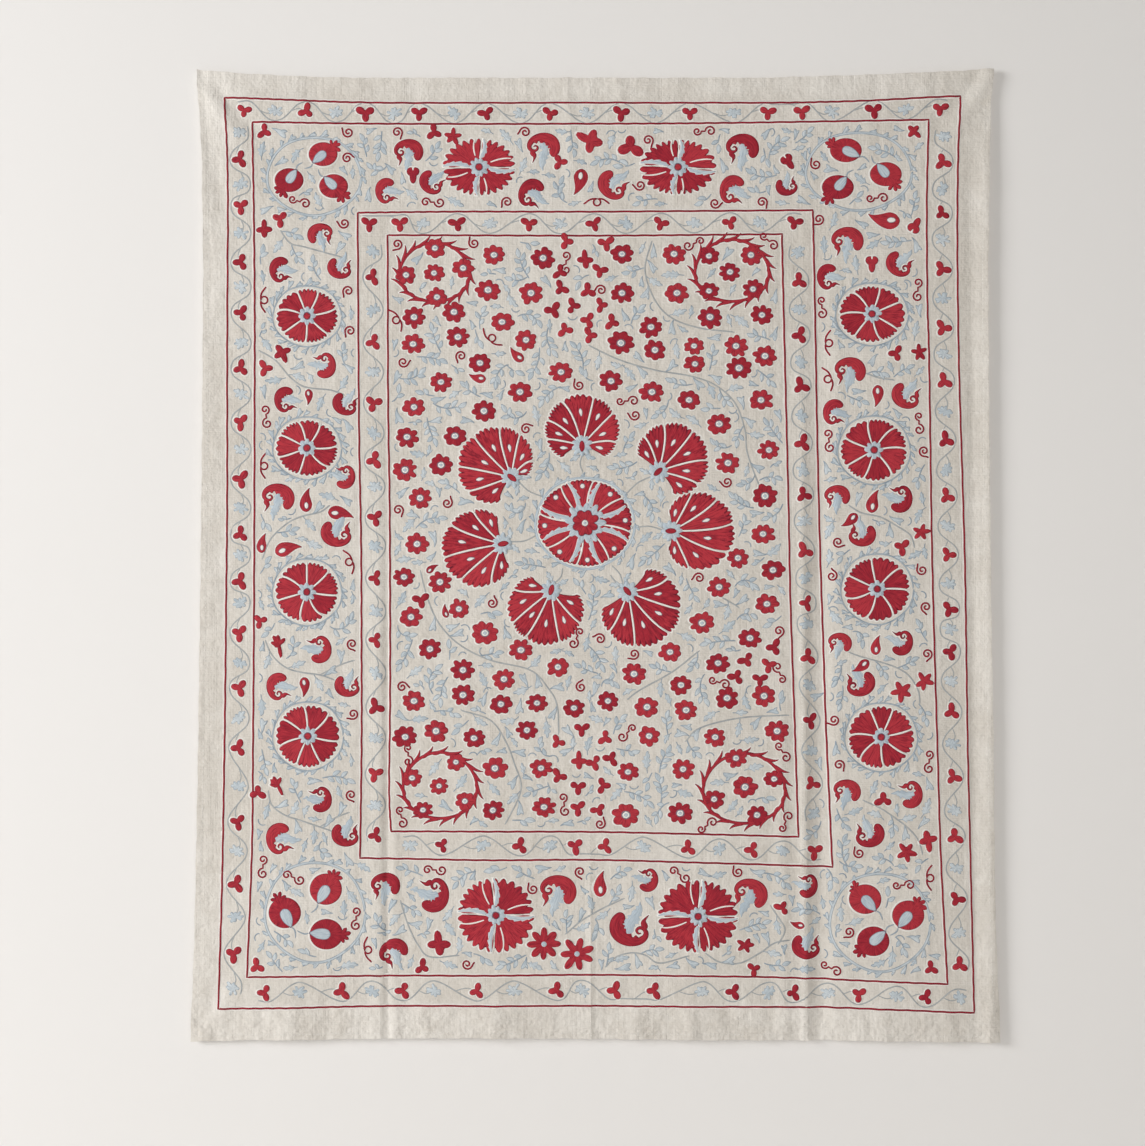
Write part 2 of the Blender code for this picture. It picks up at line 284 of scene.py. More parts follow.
# One boteh of width 1: places along the way it opens and towards its spiral, with half widths
BOTEH_BODY = (
    (0.39, -0.22, 0.020), (0.35, -0.25, 0.100), (0.25, -0.30, 0.140), (0.10, -0.31, 0.165),
    (-0.05, -0.25, 0.180), (-0.15, -0.14, 0.175), (-0.20, 0.01, 0.150), (-0.19, 0.16, 0.120),
    (-0.12, 0.29, 0.095), (0.00, 0.37, 0.075), (0.13, 0.37, 0.060), (0.21, 0.29, 0.048), (0.20, 0.19, 0.040),
    (0.11, 0.15, 0.034), (0.05, 0.21, 0.028), (0.09, 0.27, 0.016),
)
BOTEH_SPUR = ((0.20, 0.34, 0.030), (0.28, 0.30, 0.080), (0.37, 0.24, 0.075), (0.46, 0.24, 0.040),
              (0.56, 0.27, 0.022), (0.63, 0.30, 0.005))
BOTEH_DEPTH = 0.84
BOTEH_LEAF = ((-0.08, 0.03, 0.01), (0.00, 0.00, 0.09), (0.10, -0.04, 0.13), (0.22, -0.04, 0.145),
              (0.34, -0.01, 0.14), (0.47, 0.02, 0.11), (0.60, 0.04, 0.06), (0.74, 0.00, 0.010))

# Drops and hearts: place, length, and the way the point goes
DROPS = (
    (309, 397, 16, 80), (306, 500, 24, 265), (341, 513, 26, 0), (288, 548, 27, 335), (262, 543, 20, 270),
    (305, 687, 20, 80), (600, 884, 26, 265), (884, 220, 32, 180), (878, 396, 22, 85), (873, 501, 24, 275),
    (850, 521, 20, 130), (876, 645, 20, 270), (861, 667, 20, 135), (797, 925, 15, 185), (432, 568, 14, 315),
    (445, 611, 14, 250), (580, 182, 27, 95), (516, 355, 19, 215), (477, 378, 18, 185),
)
HEARTS = ((413, 174, 90), (788, 161, 55), (872, 263, 90), (915, 226, 300))

# Small leaf-flowers: place, number of lobes, the way of the longest lobe, and the size where it isn't 1
LEAF_FLOWERS = (
    (264, 131, 3, 30), (453, 136, 5, 60), (280, 219, 3, 200), (264, 229, 4, 270), (282, 352, 4, 60),
    (265, 368, 3, 0), (260, 621, 3, 220), (279, 645, 6, 80), (278, 785, 6, 60, 0.9), (258, 793, 3, 270),
    (257, 966, 3, 150), (422, 967, 3, 30), (439, 944, 4, 270, 1.3), (745, 945, 5, 0), (754, 969, 3, 330),
    (782, 908, 3, 300), (931, 968, 3, 150), (914, 131, 4, 42, 0.9), (896, 353, 3, 180), (919, 352, 5, 45),
    (921, 532, 5, 0), (902, 547, 3, 200), (924, 681, 5, 20, 1.1), (901, 691, 5, 100, 1.25),
    (883, 800, 3, 270), (928, 840, 4, 80, 1.1), (906, 852, 5, 10, 1.2), (590, 141, 4, 200, 1.45),
    (631, 147, 3, 275, 1.5), (560, 162, 3, 0, 1.1), (434, 132, 3, 20), (746, 660, 3, 60), (736, 677, 3, 300),
    (774, 647, 3, 180), (769, 665, 3, 340), (760, 679, 3, 90), (421, 600, 3, 80), (566, 241, 3, 0),
    (606, 243, 3, 80), (585, 260, 4, 270), (600, 270, 3, 100), (560, 272, 3, 30), (561, 288, 3, 130),
    (588, 291, 3, 150), (553, 310, 3, 60), (573, 306, 3, 0), (601, 305, 3, 0), (588, 320, 3, 180),
    (612, 322, 3, 20), (565, 330, 3, 250), (590, 335, 3, 0), (582, 729, 3, 90), (605, 738, 3, 30),
    (558, 742, 3, 130), (579, 761, 4, 270), (594, 763, 3, 60), (611, 759, 3, 300), (559, 776, 3, 120),
    (578, 787, 3, 90), (603, 786, 3, 0), (578, 808, 3, 200), (598, 810, 3, 60),
)
# Two star-shaped flowers: place, way of the first petal, and number of petals
STAR_FLOWERS = ((544, 944, 180, 8), (577, 954, 180, 7))

# Fine red curls: place, kind and way. A double and an ess are two curls with a shared tail, which turn
# towards each other or one after the other, and a loop is a bent line with a loop in it.
CURLS = (
    (397, 244, "curl", 90), (474, 243, "curl", 200), (695, 243, "double", 160), (566, 262, "ess", 90),
    (601, 290, "curl", 200), (492, 338, "loop", 30), (768, 240, "double", 45), (396, 320, "loop", 70),
    (403, 362, "curl", 20), (461, 356, "curl", 150), (579, 385, "curl", 200), (626, 401, "double", 0),
    (635, 415, "curl", 160), (526, 429, "curl", 300), (727, 482, "curl", 150), (447, 503, "curl", 330),
    (398, 510, "curl", 30), (699, 578, "curl", 200), (492, 603, "curl", 320), (577, 637, "double", 120),
    (600, 639, "curl", 230), (634, 654, "curl", 110), (581, 687, "curl", 250), (718, 682, "double", 20),
    (780, 674, "double", 250), (779, 631, "curl", 60), (402, 687, "curl", 330), (628, 732, "double", 140),
    (408, 754, "double", 90), (782, 751, "double", 60), (564, 804, "ess", 80), (600, 824, "curl", 330),
    (706, 826, "double", 330), (785, 823, "double", 300), (401, 816, "double", 80), (348, 132, "curl", 180),
    (397, 132, "curl", 30), (347, 158, "curl", 320), (298, 201, "double", 20), (344, 223, "curl", 160),
    (432, 202, "ess", 0), (264, 300, "loop", 80), (348, 291, "curl", 160), (350, 331, "curl", 160),
    (525, 132, "curl", 200), (507, 202, "curl", 170), (597, 202, "loop", 10), (648, 140, "curl", 30),
    (703, 131, "double", 0), (640, 185, "curl", 150), (762, 202, "curl", 20), (816, 164, "curl", 200),
    (876, 198, "double", 0), (819, 219, "curl", 100), (918, 289, "ess", 90), (822, 306, "double", 90),
    (829, 343, "loop", 80), (828, 379, "loop", 80), (829, 440, "ess", 80), (919, 422, "double", 90),
    (924, 451, "curl", 90), (838, 542, "curl", 60), (832, 576, "curl", 300), (922, 570, "curl", 200),
    (926, 607, "curl", 120), (927, 654, "curl", 60), (834, 720, "curl", 120), (839, 765, "curl", 20),
    (929, 761, "ess", 90), (859, 853, "curl", 200), (902, 885, "double", 0), (930, 878, "loop", 80),
    (849, 932, "curl", 100), (830, 968, "double", 30), (263, 866, "ess", 90), (293, 877, "ess", 20),
    (356, 918, "ess", 90), (368, 950, "loop", 70), (467, 964, "curl", 20), (434, 870, "ess", 0),
    (580, 872, "curl", 110), (533, 889, "curl", 200), (679, 874, "ess", 30), (738, 872, "curl", 200),
    (266, 416, "ess", 80), (264, 466, "loop", 80), (349, 562, "loop", 80), (352, 644, "curl", 100),
    (353, 714, "curl", 110), (351, 795, "curl", 100), (715, 203, "curl", 30),
)

# Grey vines of the field and the wide border
VINES = (
    ((588, 345), (620, 360), (655, 370), (690, 376), (715, 385), (735, 403), (745, 430), (748, 455),
     (765, 500)),
    ((652, 240), (645, 270), (655, 300), (672, 318), (700, 328), (735, 332)),
    ((420, 570), (428, 600), (440, 625), (460, 645), (490, 660), (530, 670), (548, 688), (557, 705),
     (559, 735)),
    ((460, 710), (490, 720), (505, 740), (515, 765), (521, 790), (505, 825)),
    ((700, 650), (672, 672), (640, 690), (627, 700)),
    ((790, 715), (740, 718), (700, 728), (685, 742)),
    ((610, 575), (622, 590)),
    ((718, 595), (740, 608)),
    ((258, 350), (275, 360), (290, 377), (305, 387), (330, 390), (345, 395)),
    ((262, 560), (270, 540), (285, 525), (300, 517), (320, 512), (330, 505)),
    ((265, 640), (272, 655), (285, 667), (300, 672), (320, 675), (335, 680)),
    ((320, 675), (340, 665), (355, 660)),
    ((268, 790), (272, 805), (285, 815), (300, 820), (320, 827), (332, 831)),
    ((320, 827), (335, 818), (350, 812)),
    ((280, 230), (290, 243), (305, 247), (345, 258)),
    ((865, 373), (880, 378), (895, 380)),
    ((848, 505), (862, 513), (880, 517), (895, 525), (910, 535), (915, 548)),
    ((848, 652), (862, 657), (880, 662), (895, 667), (908, 675), (918, 690), (920, 705)),
    ((862, 800), (880, 808), (895, 818), (908, 828), (918, 840), (923, 855)),
    ((400, 900), (408, 925), (418, 945), (430, 957), (460, 955)),
    ((565, 935), (580, 922), (600, 910), (625, 898)),
    ((605, 968), (615, 958), (630, 953), (645, 955), (660, 963), (690, 955)),
    ((705, 953), (720, 962), (740, 963), (760, 953), (775, 943), (790, 940)),
    ((770, 905), (780, 920), (785, 930), (778, 945)),
)

# Colours, as shares of light
RED = (0.330, 0.016, 0.030)
RED_LIGHT = (0.440, 0.032, 0.046)
# RED_DARK and the other dark thread colours (BLUE_DARK, LEAF_RIM, GREY_DARK, PALE_SHADE) paint shade: in the
# gaps between strands and, in part, in the darker line at each shape's edge
RED_DARK = (0.120, 0.006, 0.018)
RED_LINE = (0.235, 0.016, 0.027)
RED_LINE_LIGHT = (0.350, 0.026, 0.040)
BLUE = (0.440, 0.505, 0.555)
BLUE_LIGHT = (0.520, 0.575, 0.610)
BLUE_DARK = (0.270, 0.335, 0.400)
BLUE_RIM = (0.170, 0.130, 0.170)
LEAF_BLUE = (0.480, 0.535, 0.570)
LEAF_LIGHT = (0.570, 0.610, 0.630)
LEAF_RIM = (0.225, 0.275, 0.325)
GREY = (0.345, 0.365, 0.370)
GREY_LIGHT = (0.425, 0.435, 0.430)
GREY_DARK = (0.240, 0.260, 0.275)
# The pale outline's colours: partly thread, partly a painted highlight of the puckered cloth round each motif
PALE_OUTLINE_AND_HALO = (0.730, 0.700, 0.655)
PALE_OUTLINE_AND_HALO_LIGHT = (0.780, 0.755, 0.715)
PALE = (0.770, 0.745, 0.700)
PALE_LIGHT = (0.820, 0.800, 0.760)
PALE_SHADE = (0.560, 0.525, 0.470)
COTTON = (0.640, 0.600, 0.545)
COTTON_PALE = (0.715, 0.680, 0.628)
COTTON_DARK = (0.525, 0.480, 0.420)
COTTON_STAIN = (0.560, 0.490, 0.390)

# The view, the stage and the light
CAMERA_PLACE = (-0.045, -3.187, -0.991)
LENS = 50.0
SENSOR = 36.0
BACKDROP_Y = 0.010
FLOOR_Z = -2.43
BACKDROP_COLOUR = (0.755, 0.735, 0.715)
FLOOR_COLOUR = (0.74, 0.73, 0.71)
# Lamps: name, place, the place each is turned to, its side in metres, watts and colour
LAMPS = (
    ("window_light", (-7.0, -3.3, 0.6), (0.0, 0.0, -0.9), 2.8, 545, (0.985, 0.99, 1.0)),
    ("room_light", (0.6, -4.3, -0.9), (0.2, 0.0, -1.3), 3.2, 52, (1.0, 0.985, 0.96)),
    ("back_light", (0.5, 4.0, 0.6), (0.0, 0.0, -1.0), 3.0, 110, (1.0, 0.99, 0.98)),
)
ROUND_COLOUR = (1.0, 0.985, 0.96, 1.0)
ROUND_STRENGTH = 0.295

draws = np.random.default_rng(11)

# The threads that show on the reverse too, in plainer meshes, and the share of their height there
REVERSE_NAMES = ("flowers", "fans", "botehs", "red_leaves", "wreaths", "frame_lines", "vines", "blue_leaves")
REVERSE_SHARE = 0.35


# The hung cloth

def smooth_step(t):
    """0 up to 0 and 1 from 1 on, and between them three squares less two cubes."""
    t = np.clip(t, 0.0, 1.0)
    return t * t * (3 - 2 * t)


def column_at(z, name):
    """The x of a side edge or a seam at heights z: straight between the stations."""
    heights = [station.z for station in reversed(STATIONS)]
    places = [getattr(station, name) for station in reversed(STATIONS)]
    return np.interp(z, heights, places)


def edge_at(x, points):
    """The z of the top or bottom edge at places x: straight between its points."""
    return np.interp(x, [point.x for point in points], [point.z for point in points])


def hem_creases():
    """The short folds at the left edge and the puckers of the top and bottom, as rows of the fold table."""
    folds = []
    for number, (z, climb) in enumerate(zip(CREASE_HEIGHTS, CREASE_RISES)):
        rise = -0.0026 if number % 2 else -0.0018
        left = float(column_at(z, "left"))
        folds.append(Fold(left, z, left + CREASE_LENGTH, z + climb, 0.006, rise, 0.01, 0.06))
    for number, x in enumerate(BOTTOM_PUCKERS):
        rise = BOTTOM_PUCKER_RISE * (1.0 if number % 2 else -0.8)
        lean = 0.006 * ((number % 3) - 1)
        folds.append(Fold(x, -1.95, x + lean, -1.95 + PUCKER_HEIGHT, PUCKER_WIDTH, rise, 0.01, 0.07))
    for number, x in enumerate(TOP_PUCKERS):
        rise = TOP_PUCKER_RISE * (1.0 if number % 2 else -0.8)
        lean = 0.005 * ((number % 3) - 1)
        folds.append(Fold(x, 0.02, x + lean, 0.02 - PUCKER_HEIGHT, PUCKER_WIDTH, rise, 0.01, 0.08))
    return tuple(folds)


FOLDS = SEAM_FOLDS + EDGE_FOLDS + CORNER_FOLDS + hem_creases()


def fold_rise(x, z, fold):
    """How far one fold lifts the cloth: a bell across its run, faded at its two ends."""
    run_x = fold.end_x - fold.x
    run_z = fold.end_z - fold.z
    length = np.hypot(run_x, run_z)
    along = ((x - fold.x) * run_x + (z - fold.z) * run_z) / length
    across = ((x - fold.x) * run_z - (z - fold.z) * run_x) / length
    fade = smooth_step(along / fold.fade_in) * smooth_step((length - along) / fold.fade_out)
    return fold.rise * fade * np.exp(-((across / fold.width) ** 2))


def relief(x, z):
    """How far the face stands forward of its plane: the swell of each strip, plus every fold."""
    down = np.clip((-z - SWELL_FLAT_TOP) / (CLOTH_HEIGHT - SWELL_FLAT_TOP), 0.0, 1.0)
    left = column_at(z, "left")
    right = column_at(z, "right")
    strips = 4 * (x - left) / (right - left)
    total = SWELL * down * (0.5 - 0.5 * np.cos(2 * np.pi * strips))
    for fold in FOLDS:
        total = total + fold_rise(x, z, fold)
    return total


def hem_distance(x, z, left_hem, right_hem):
    """How far a point is from the nearest hemmed edge of its strip."""
    nearest = z - edge_at(x, BOTTOM_EDGE)
    if left_hem:
        nearest = np.minimum(nearest, x - column_at(z, "left"))
    if right_hem:
        nearest = np.minimum(nearest, column_at(z, "right") - x)
    return nearest


def face_y(x, z):
    """The y of the embroidered face."""
    return -CLOTH_THICKNESS - relief(x, z)


def to_x(across):
    """Metres from the pattern's units across."""
    return (across - MIDDLE_ACROSS) * UNIT


def to_z(down):
    """Metres from the pattern's units down."""
    return (TOP_DOWN - down) * UNIT


# Meshes

def make_mesh(name, points, corners, sizes, maps, material):
    """One mesh from whole arrays: points, the corner numbers of all faces in a row, and the faces' sizes."""
    mesh = bpy.data.meshes.new(name)
    mesh.vertices.add(len(points))
    mesh.vertices.foreach_set("co", np.ascontiguousarray(points, dtype=np.float32).ravel())
    mesh.loops.add(len(corners))
    mesh.loops.foreach_set("vertex_index", corners.astype(np.int32))
    mesh.polygons.add(len(sizes))
    starts = np.concatenate([[0], np.cumsum(sizes)[:-1]])
    mesh.polygons.foreach_set("loop_start", starts.astype(np.int32))
    mesh.polygons.foreach_set("loop_total", sizes.astype(np.int32))
    mesh.update(calc_edges=True)
    for map_name, values in maps.items():
        layer = mesh.uv_layers.new(name=map_name)
        layer.data.foreach_set("uv", np.ascontiguousarray(values, dtype=np.float32).ravel())
    mesh.shade_smooth()
    mesh.materials.append(material)
    piece = bpy.data.objects.new(name, mesh)
    bpy.context.scene.collection.objects.link(piece)
    return piece


class Thread:
    """Patches of one thread, gathered as whole arrays and then laid on the cloth as one piece."""

    def __init__(self, name, material, slot):
        self.name, self.material, self.slot = name, material, slot
        self.reverse = None
        self.points, self.quads, self.threes = [], [], []
        self.quad_maps, self.three_maps = [], []
        self.count = 0

    def lay(self, across, down, rise, along, beside, edge, tone, closed=False, pole=False, coarse=None):
        """Adds one grid. Each quad joins four neighbours in the rows and columns. A closed grid's last column
        repeats its first and shares its points, and a grid with a pole has one point for its whole first row.
        The reverse, if there is one, gets only the coarse rows or columns."""
        if self.reverse and coarse:
            grids = (across, down, rise, along, beside, edge, tone)
            self.reverse.lay(*[np.broadcast_to(grid, across.shape)[coarse] for grid in grids], closed, pole)
        rows, columns = across.shape
        steps = columns - 1 if closed else columns
        turn = np.arange(columns) % steps
        index = np.arange(rows)[:, None] * steps + turn[None, :]
        values = np.stack([across, down, rise], axis=-1)[:, :steps].reshape(-1, 3)
        if pole:
            index = np.maximum(index - steps + 1, 0)
            values = values[steps - 1:]
        tone = np.broadcast_to(tone, across.shape)
        maps = np.stack([beside, along, edge, tone], axis=-1)
        corners = lambda grid: np.stack([grid[:-1, :-1], grid[:-1, 1:], grid[1:, 1:], grid[1:, :-1]], axis=2)
        quads = corners(index) + self.count
        quad_maps = corners(maps)
        first = 1 if pole else 0
        if pole:
            self.threes.append(quads[0][:, [0, 2, 3]])
            self.three_maps.append(quad_maps[0][:, [0, 2, 3]])
        self.quads.append(quads[first:].reshape(-1, 4))
        self.quad_maps.append(quad_maps[first:].reshape(-1, 4, 4))
        self.points.append(values)
        self.count += len(values)

    def sew(self, back=False):
        """The piece: every place goes to metres and onto the cloth's face, with its rise along -Y, or on the
        cloth's back with its rise along +Y. Faces that look at the cloth are turned round."""
        flat = np.concatenate(self.points)
        x, z = to_x(flat[:, 0]), to_z(flat[:, 1])
        if back:
            y = face_y(x, z) + CLOTH_THICKNESS + flat[:, 2] * MILLIMETRE * REVERSE_SHARE
        else:
            y = face_y(x, z) - flat[:, 2] * MILLIMETRE
        corners, sizes, maps = [], [], []
        for faces, face_maps in ((self.quads, self.quad_maps), (self.threes, self.three_maps)):
            if not faces:
                continue
            faces, face_maps = np.concatenate(faces), np.concatenate(face_maps)
            ahead = np.roll(faces, -1, axis=1)
            area = (flat[faces, 0] * flat[ahead, 1] - flat[ahead, 0] * flat[faces, 1]).sum(axis=1)
            wrong = area < 0 if back else area > 0
            faces[wrong] = faces[wrong, ::-1]
            face_maps[wrong] = face_maps[wrong, ::-1]
            corners.append(faces.ravel())
            sizes.append(np.full(len(faces), faces.shape[1]))
            maps.append(face_maps.reshape(-1, 4))
        maps = np.concatenate(maps)
        maps = {"thread": maps[:, :2], "rim": maps[:, 2:]}
        piece = make_mesh(self.name, np.stack([x, y, z], axis=1), np.concatenate(corners),
                          np.concatenate(sizes), maps, self.material)
        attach(piece, "root")
        return piece


# Shapes of laid thread

def dome(distance, height, base=-SUNK, rounding=ROUNDING):
    """Rise at a distance from the edge: from the base, along a quarter circle, to the full height."""
    share = np.clip(distance / rounding, 0.0, 1.0)
    return base + (height - base) * np.sqrt(share * (2 - share))


def smooth_path(points, spacing=2.0):
    """A curve through the points: each stretch is a cubic, whose slope at a point is half the step between
    that point's neighbours. Further columns, such as half widths, go along in the same way."""
    points = np.asarray(points, dtype=float)
    before = np.vstack([2 * points[0] - points[1], points[:-1]])
    after = np.vstack([points[1:], 2 * points[-1] - points[-2]])
    slopes = (after - before) / 2
    chord = np.hypot(*(points[1:, :2] - points[:-1, :2]).T).mean()
    steps = max(2, int(np.ceil(chord / spacing)))
    t = (np.arange(steps) / steps)[None, :, None]
    start, end = points[:-1, None], points[1:, None]
    curve = ((2 * t**3 - 3 * t**2 + 1) * start + (t**3 - 2 * t**2 + t) * slopes[:-1, None]
             + (3 * t**2 - 2 * t**3) * end + (t**3 - t**2) * slopes[1:, None])
    return np.vstack([curve.reshape(-1, points.shape[1]), points[-1]])


def ribbon(thread, path, height, tone=0.5, strands=5, grow=0.0, ends=True, base=-SUNK):
    """Thread along a path of (across, down, half width) or (across, down, left half, right half): at every
    point a row of strands across it, domed from its base. Both ends sink under the cloth, or under the thread
    below."""
    path = np.asarray(path, dtype=float)
    place = path[:, :2]
    left, right = path[:, 2] + grow, path[:, -1] + grow
    ahead = np.gradient(place, axis=0)
    length = np.maximum(np.hypot(ahead[:, 0], ahead[:, 1]), 1e-6)
    ahead = ahead / length[:, None]
    normal = np.stack([-ahead[:, 1], ahead[:, 0]], axis=1)
    if grow and ends:
        place = place.copy()
        place[0] -= ahead[0] * grow
        place[-1] += ahead[-1] * grow
    share = np.linspace(-1.0, 1.0, strands)[None, :]
    offset = np.where(share < 0, share * right[:, None], share * left[:, None])
    across = place[:, :1] + normal[:, :1] * offset
    down = place[:, 1:] + normal[:, 1:] * offset
    run = np.concatenate([[0.0], np.cumsum(np.hypot(*np.diff(place, axis=0).T))])
    edge = (1 - np.abs(share)) * np.where(share < 0, right[:, None], left[:, None])
    if ends:
        edge = np.minimum(edge, np.minimum(run, run[-1] - run)[:, None])
    along = np.broadcast_to(run[:, None], across.shape)
    rounding = ROUNDING if base < 0 else SMALL_ROUNDING
    thread.lay(across, down, dome(edge, height, base, rounding), along, offset, edge, tone,
               coarse=(slice(None), [0, strands // 2, strands - 1]))


def lobed_outline(lobes, turn, size, steps):
    """Even angles and the distance to the outline at each: the farthest place at which a ray from the middle
    leaves a lobe. A lobe is an ellipse on its own direction, given by its angle, distance, half length and
    half width."""
    angle, distance, half_length, half_width = np.asarray(lobes, dtype=float).T[:, :, None]
    theta = np.linspace(0.0, 2 * np.pi, steps, endpoint=False)
    ray = theta[None, :] - np.radians(angle + turn)
    a = (np.cos(ray) / half_length) ** 2 + (np.sin(ray) / half_width) ** 2
    b = distance * np.cos(ray) / half_length**2
    c = (distance / half_length) ** 2 - 1
    inside = b * b - a * c
    leaves = (b + np.sqrt(np.maximum(inside, 0.0))) / a
    reach = np.where(inside > 0, leaves, 0.0).max(axis=0)
    return theta, np.maximum(reach, 0.3) * size


def round_again(values):
    """The values with the first repeated at the end, for a closed grid."""
    return np.concatenate([values, values[:1]])


def patch(thread, across, down, theta, reach, height, tone, rings=(0.0, 0.5, 0.84, 0.94, 1.0), squash=1.0,
          base=-SUNK):
    """A filled shape round its middle: domed rings at shares of the outline's distance, from the middle."""
    theta, reach = round_again(theta), round_again(reach)
    theta[-1] += 2 * np.pi
    share = np.asarray(rings)[:, None]
    radius = share * reach[None, :]
    edge = (1 - share) * reach[None, :]
    rounding = ROUNDING if base < 0 else SMALL_ROUNDING
    round_way = theta[None, :] * np.median(reach) * 0.7 + 0 * radius
    thread.lay(across + radius * np.cos(theta), down + squash * radius * np.sin(theta),
               dome(edge, height, base, rounding), radius, round_way, edge, tone, closed=True, pole=True,
               coarse=([0, len(rings) - 2, len(rings) - 1], slice(None)))


def disc(thread, across, down, radius, height, base, tone=0.5, squash=1.0):
    """A small round spot on top of other thread."""
    theta = np.linspace(0.0, 2 * np.pi, 14, endpoint=False)
    reach = np.full(14, radius) * (1 + draws.normal(0, 0.04, 14))
    patch(thread, across, down, theta, reach, height, tone, (0.0, 0.6, 0.85, 1.0), squash, base)


def rim(thread, across, down, theta, reach, height, tone, width=OUTLINE_WIDTH, inward=0.8, squash=1.0):
    """A line round a shape: a ring from just inside its outline to a width outside it, domed."""
    theta, reach = round_again(theta), round_again(reach)
    theta[-1] += 2 * np.pi
    offset = np.array([-inward, 0.25 * width, 0.7 * width, width])[:, None]
    radius = np.maximum(reach[None, :] + offset, 0.2)
    edge = (width - offset) + 0 * radius
    thread.lay(across + radius * np.cos(theta), down + squash * radius * np.sin(theta), dome(edge, height),
               theta[None, :] * np.median(reach) + 0 * radius, radius, edge, tone, closed=True)


def turned(points, across, down, way, size=1.0, hand=1):
    """Points of a motif's own plan, (forward, aside, ...widths), at their place: forward goes the motif's
    way, and aside goes 90 degrees clockwise of it, or the other way round for a hand of -1."""
    points = np.asarray(points, dtype=float).copy()
    forward, aside = points[:, 0] * size, points[:, 1] * size * hand
    cos, sin = np.cos(np.radians(way)), np.sin(np.radians(way))
    placed = points.copy()
    placed[:, 0] = across + forward * cos - aside * sin
    placed[:, 1] = down + forward * sin + aside * cos
    placed[:, 2:] = points[:, 2:] * size
    return placed


def petal(thread, outlines, across, down, inner, reach, start, end, bend, teeth, depth, tone, gap=0.6):
    """One petal of a fan or wheel: rows go out from the middle and columns go round. Its two sides bend with
    the square of the way out, its rim bulges and has round teeth, with painted shade in the creases in from
    its notches, and a pale line goes all along its edge, partly thread and partly painted highlight of the
    puckered cloth."""
    out = np.array([0.0, 0.3, 0.6, 0.78, 0.87, 0.93, 0.97, 1.0])[:, None]
    round_ = np.linspace(0.0, 1.0, 6 * teeth + 1)[None, :]
    side_1 = start + bend[0] * out**2
    side_2 = end + bend[1] * out**2
    middle = side_1 + round_ * (side_2 - side_1)
    swing = np.abs(np.sin(np.pi * teeth * round_ + 0.35 * np.sin(2 * np.pi * round_ + 40 * tone)))
    full = reach(middle) * (0.985 + 0.03 * np.sin(np.pi * round_) + 0.02 * (tone - 0.5))
    notch = depth * (1 - swing**0.85) * smooth_step((out - 0.6) / 0.4)
    radius = inner + out * (full - inner) - notch
    trim = gap / np.maximum(radius, 1.0)
    angle = side_1 + trim + round_ * (side_2 - side_1 - 2 * trim)
    side = np.minimum(round_, 1 - round_) * (side_2 - side_1) * radius
    lobe = swing * (side_2 - side_1) * radius / (2.6 * teeth)
    # Along a line in from each notch the edge distance drops, so the thread dips there and the darker edge
    # colour paints shade into these creases between the lobes
    crease_dip_and_shade = lobe + 3.0 * (1 - smooth_step((out - 0.78) / 0.15))
    edge = np.minimum(np.minimum(side, (1 - out) * (full - inner) + 0 * side), crease_dip_and_shade)
    line_across, line_down = across + radius * np.cos(angle), down + radius * np.sin(angle)
    thread.lay(line_across, line_down, dome(edge, RED_HEIGHT), radius, angle * 18.0, edge, tone,
               coarse=([0, 5, 7], slice(None)))
    place = np.stack([line_across, line_down, np.full(radius.shape, OUTLINE_WIDTH + 0.1)], axis=-1)
    around = np.concatenate([place[2:-1, 0], place[-1], place[-2:1:-1, -1]])
    ribbon(outlines, around, OUTLINE_HEIGHT, 0.6, strands=3)


def divider(thread, across, down, inner, reach, start, bend, height, wide):
    """A line between two petals: it goes out along the petals' shared side and thins at both ends."""
    out = np.linspace(0.0, 1.0, 9)
    angle = start + bend * out**2
    radius = inner + out * (reach(angle) * 0.985 - inner)
    half = wide * (0.45 + 0.55 * np.sin(np.pi * np.clip(out * 0.86 + 0.08, 0, 1)))
    path = np.stack([across + radius * np.cos(angle), down + radius * np.sin(angle), half], axis=1)
    ribbon(thread, path, height, 0.6, strands=5, base=OUTLINE_HEIGHT)


def ellipse_reach(half_across, half_down):
    """The distance from the middle of an ellipse to its edge, as a function of the angle."""
    return lambda angle: 1 / np.sqrt((np.cos(angle) / half_across) ** 2 + (np.sin(angle) / half_down) ** 2)


def fan_reach(way, front, side):
    """The distance from a fan's base to its rim: side at right angles to its way, and front along it."""
    return lambda angle: side + (front - side) * np.cos(angle - way)


# Motifs

# A line's plan has rows of (forward, aside, half width), and a plan of lobes has rows of (angle, distance,
# half length, half width)
LEAF_FLOWER_LOBES = {
    3: ((0, 4.0, 4.4, 3.3), (114, 4.8, 4.5, 3.5), (246, 4.8, 4.5, 3.5)),
    4: ((0, 5.2, 6.0, 3.0), (92, 4.2, 4.6, 3.1), (175, 4.4, 4.8, 3.3), (268, 4.2, 4.6, 3.1)),
    5: ((0, 4.8, 5.6, 2.6), (66, 4.6, 4.8, 2.4), (138, 4.6, 4.8, 2.5), (218, 4.6, 4.8, 2.5),
        (292, 4.6, 4.8, 2.4)),
    6: ((0, 7.0, 9.0, 2.4), (118, 5.2, 5.4, 2.3), (153, 6.6, 5.6, 2.5), (190, 6.8, 5.6, 2.6),
        (232, 5.6, 5.4, 2.5), (90, 2.6, 3.0, 2.4)),
}
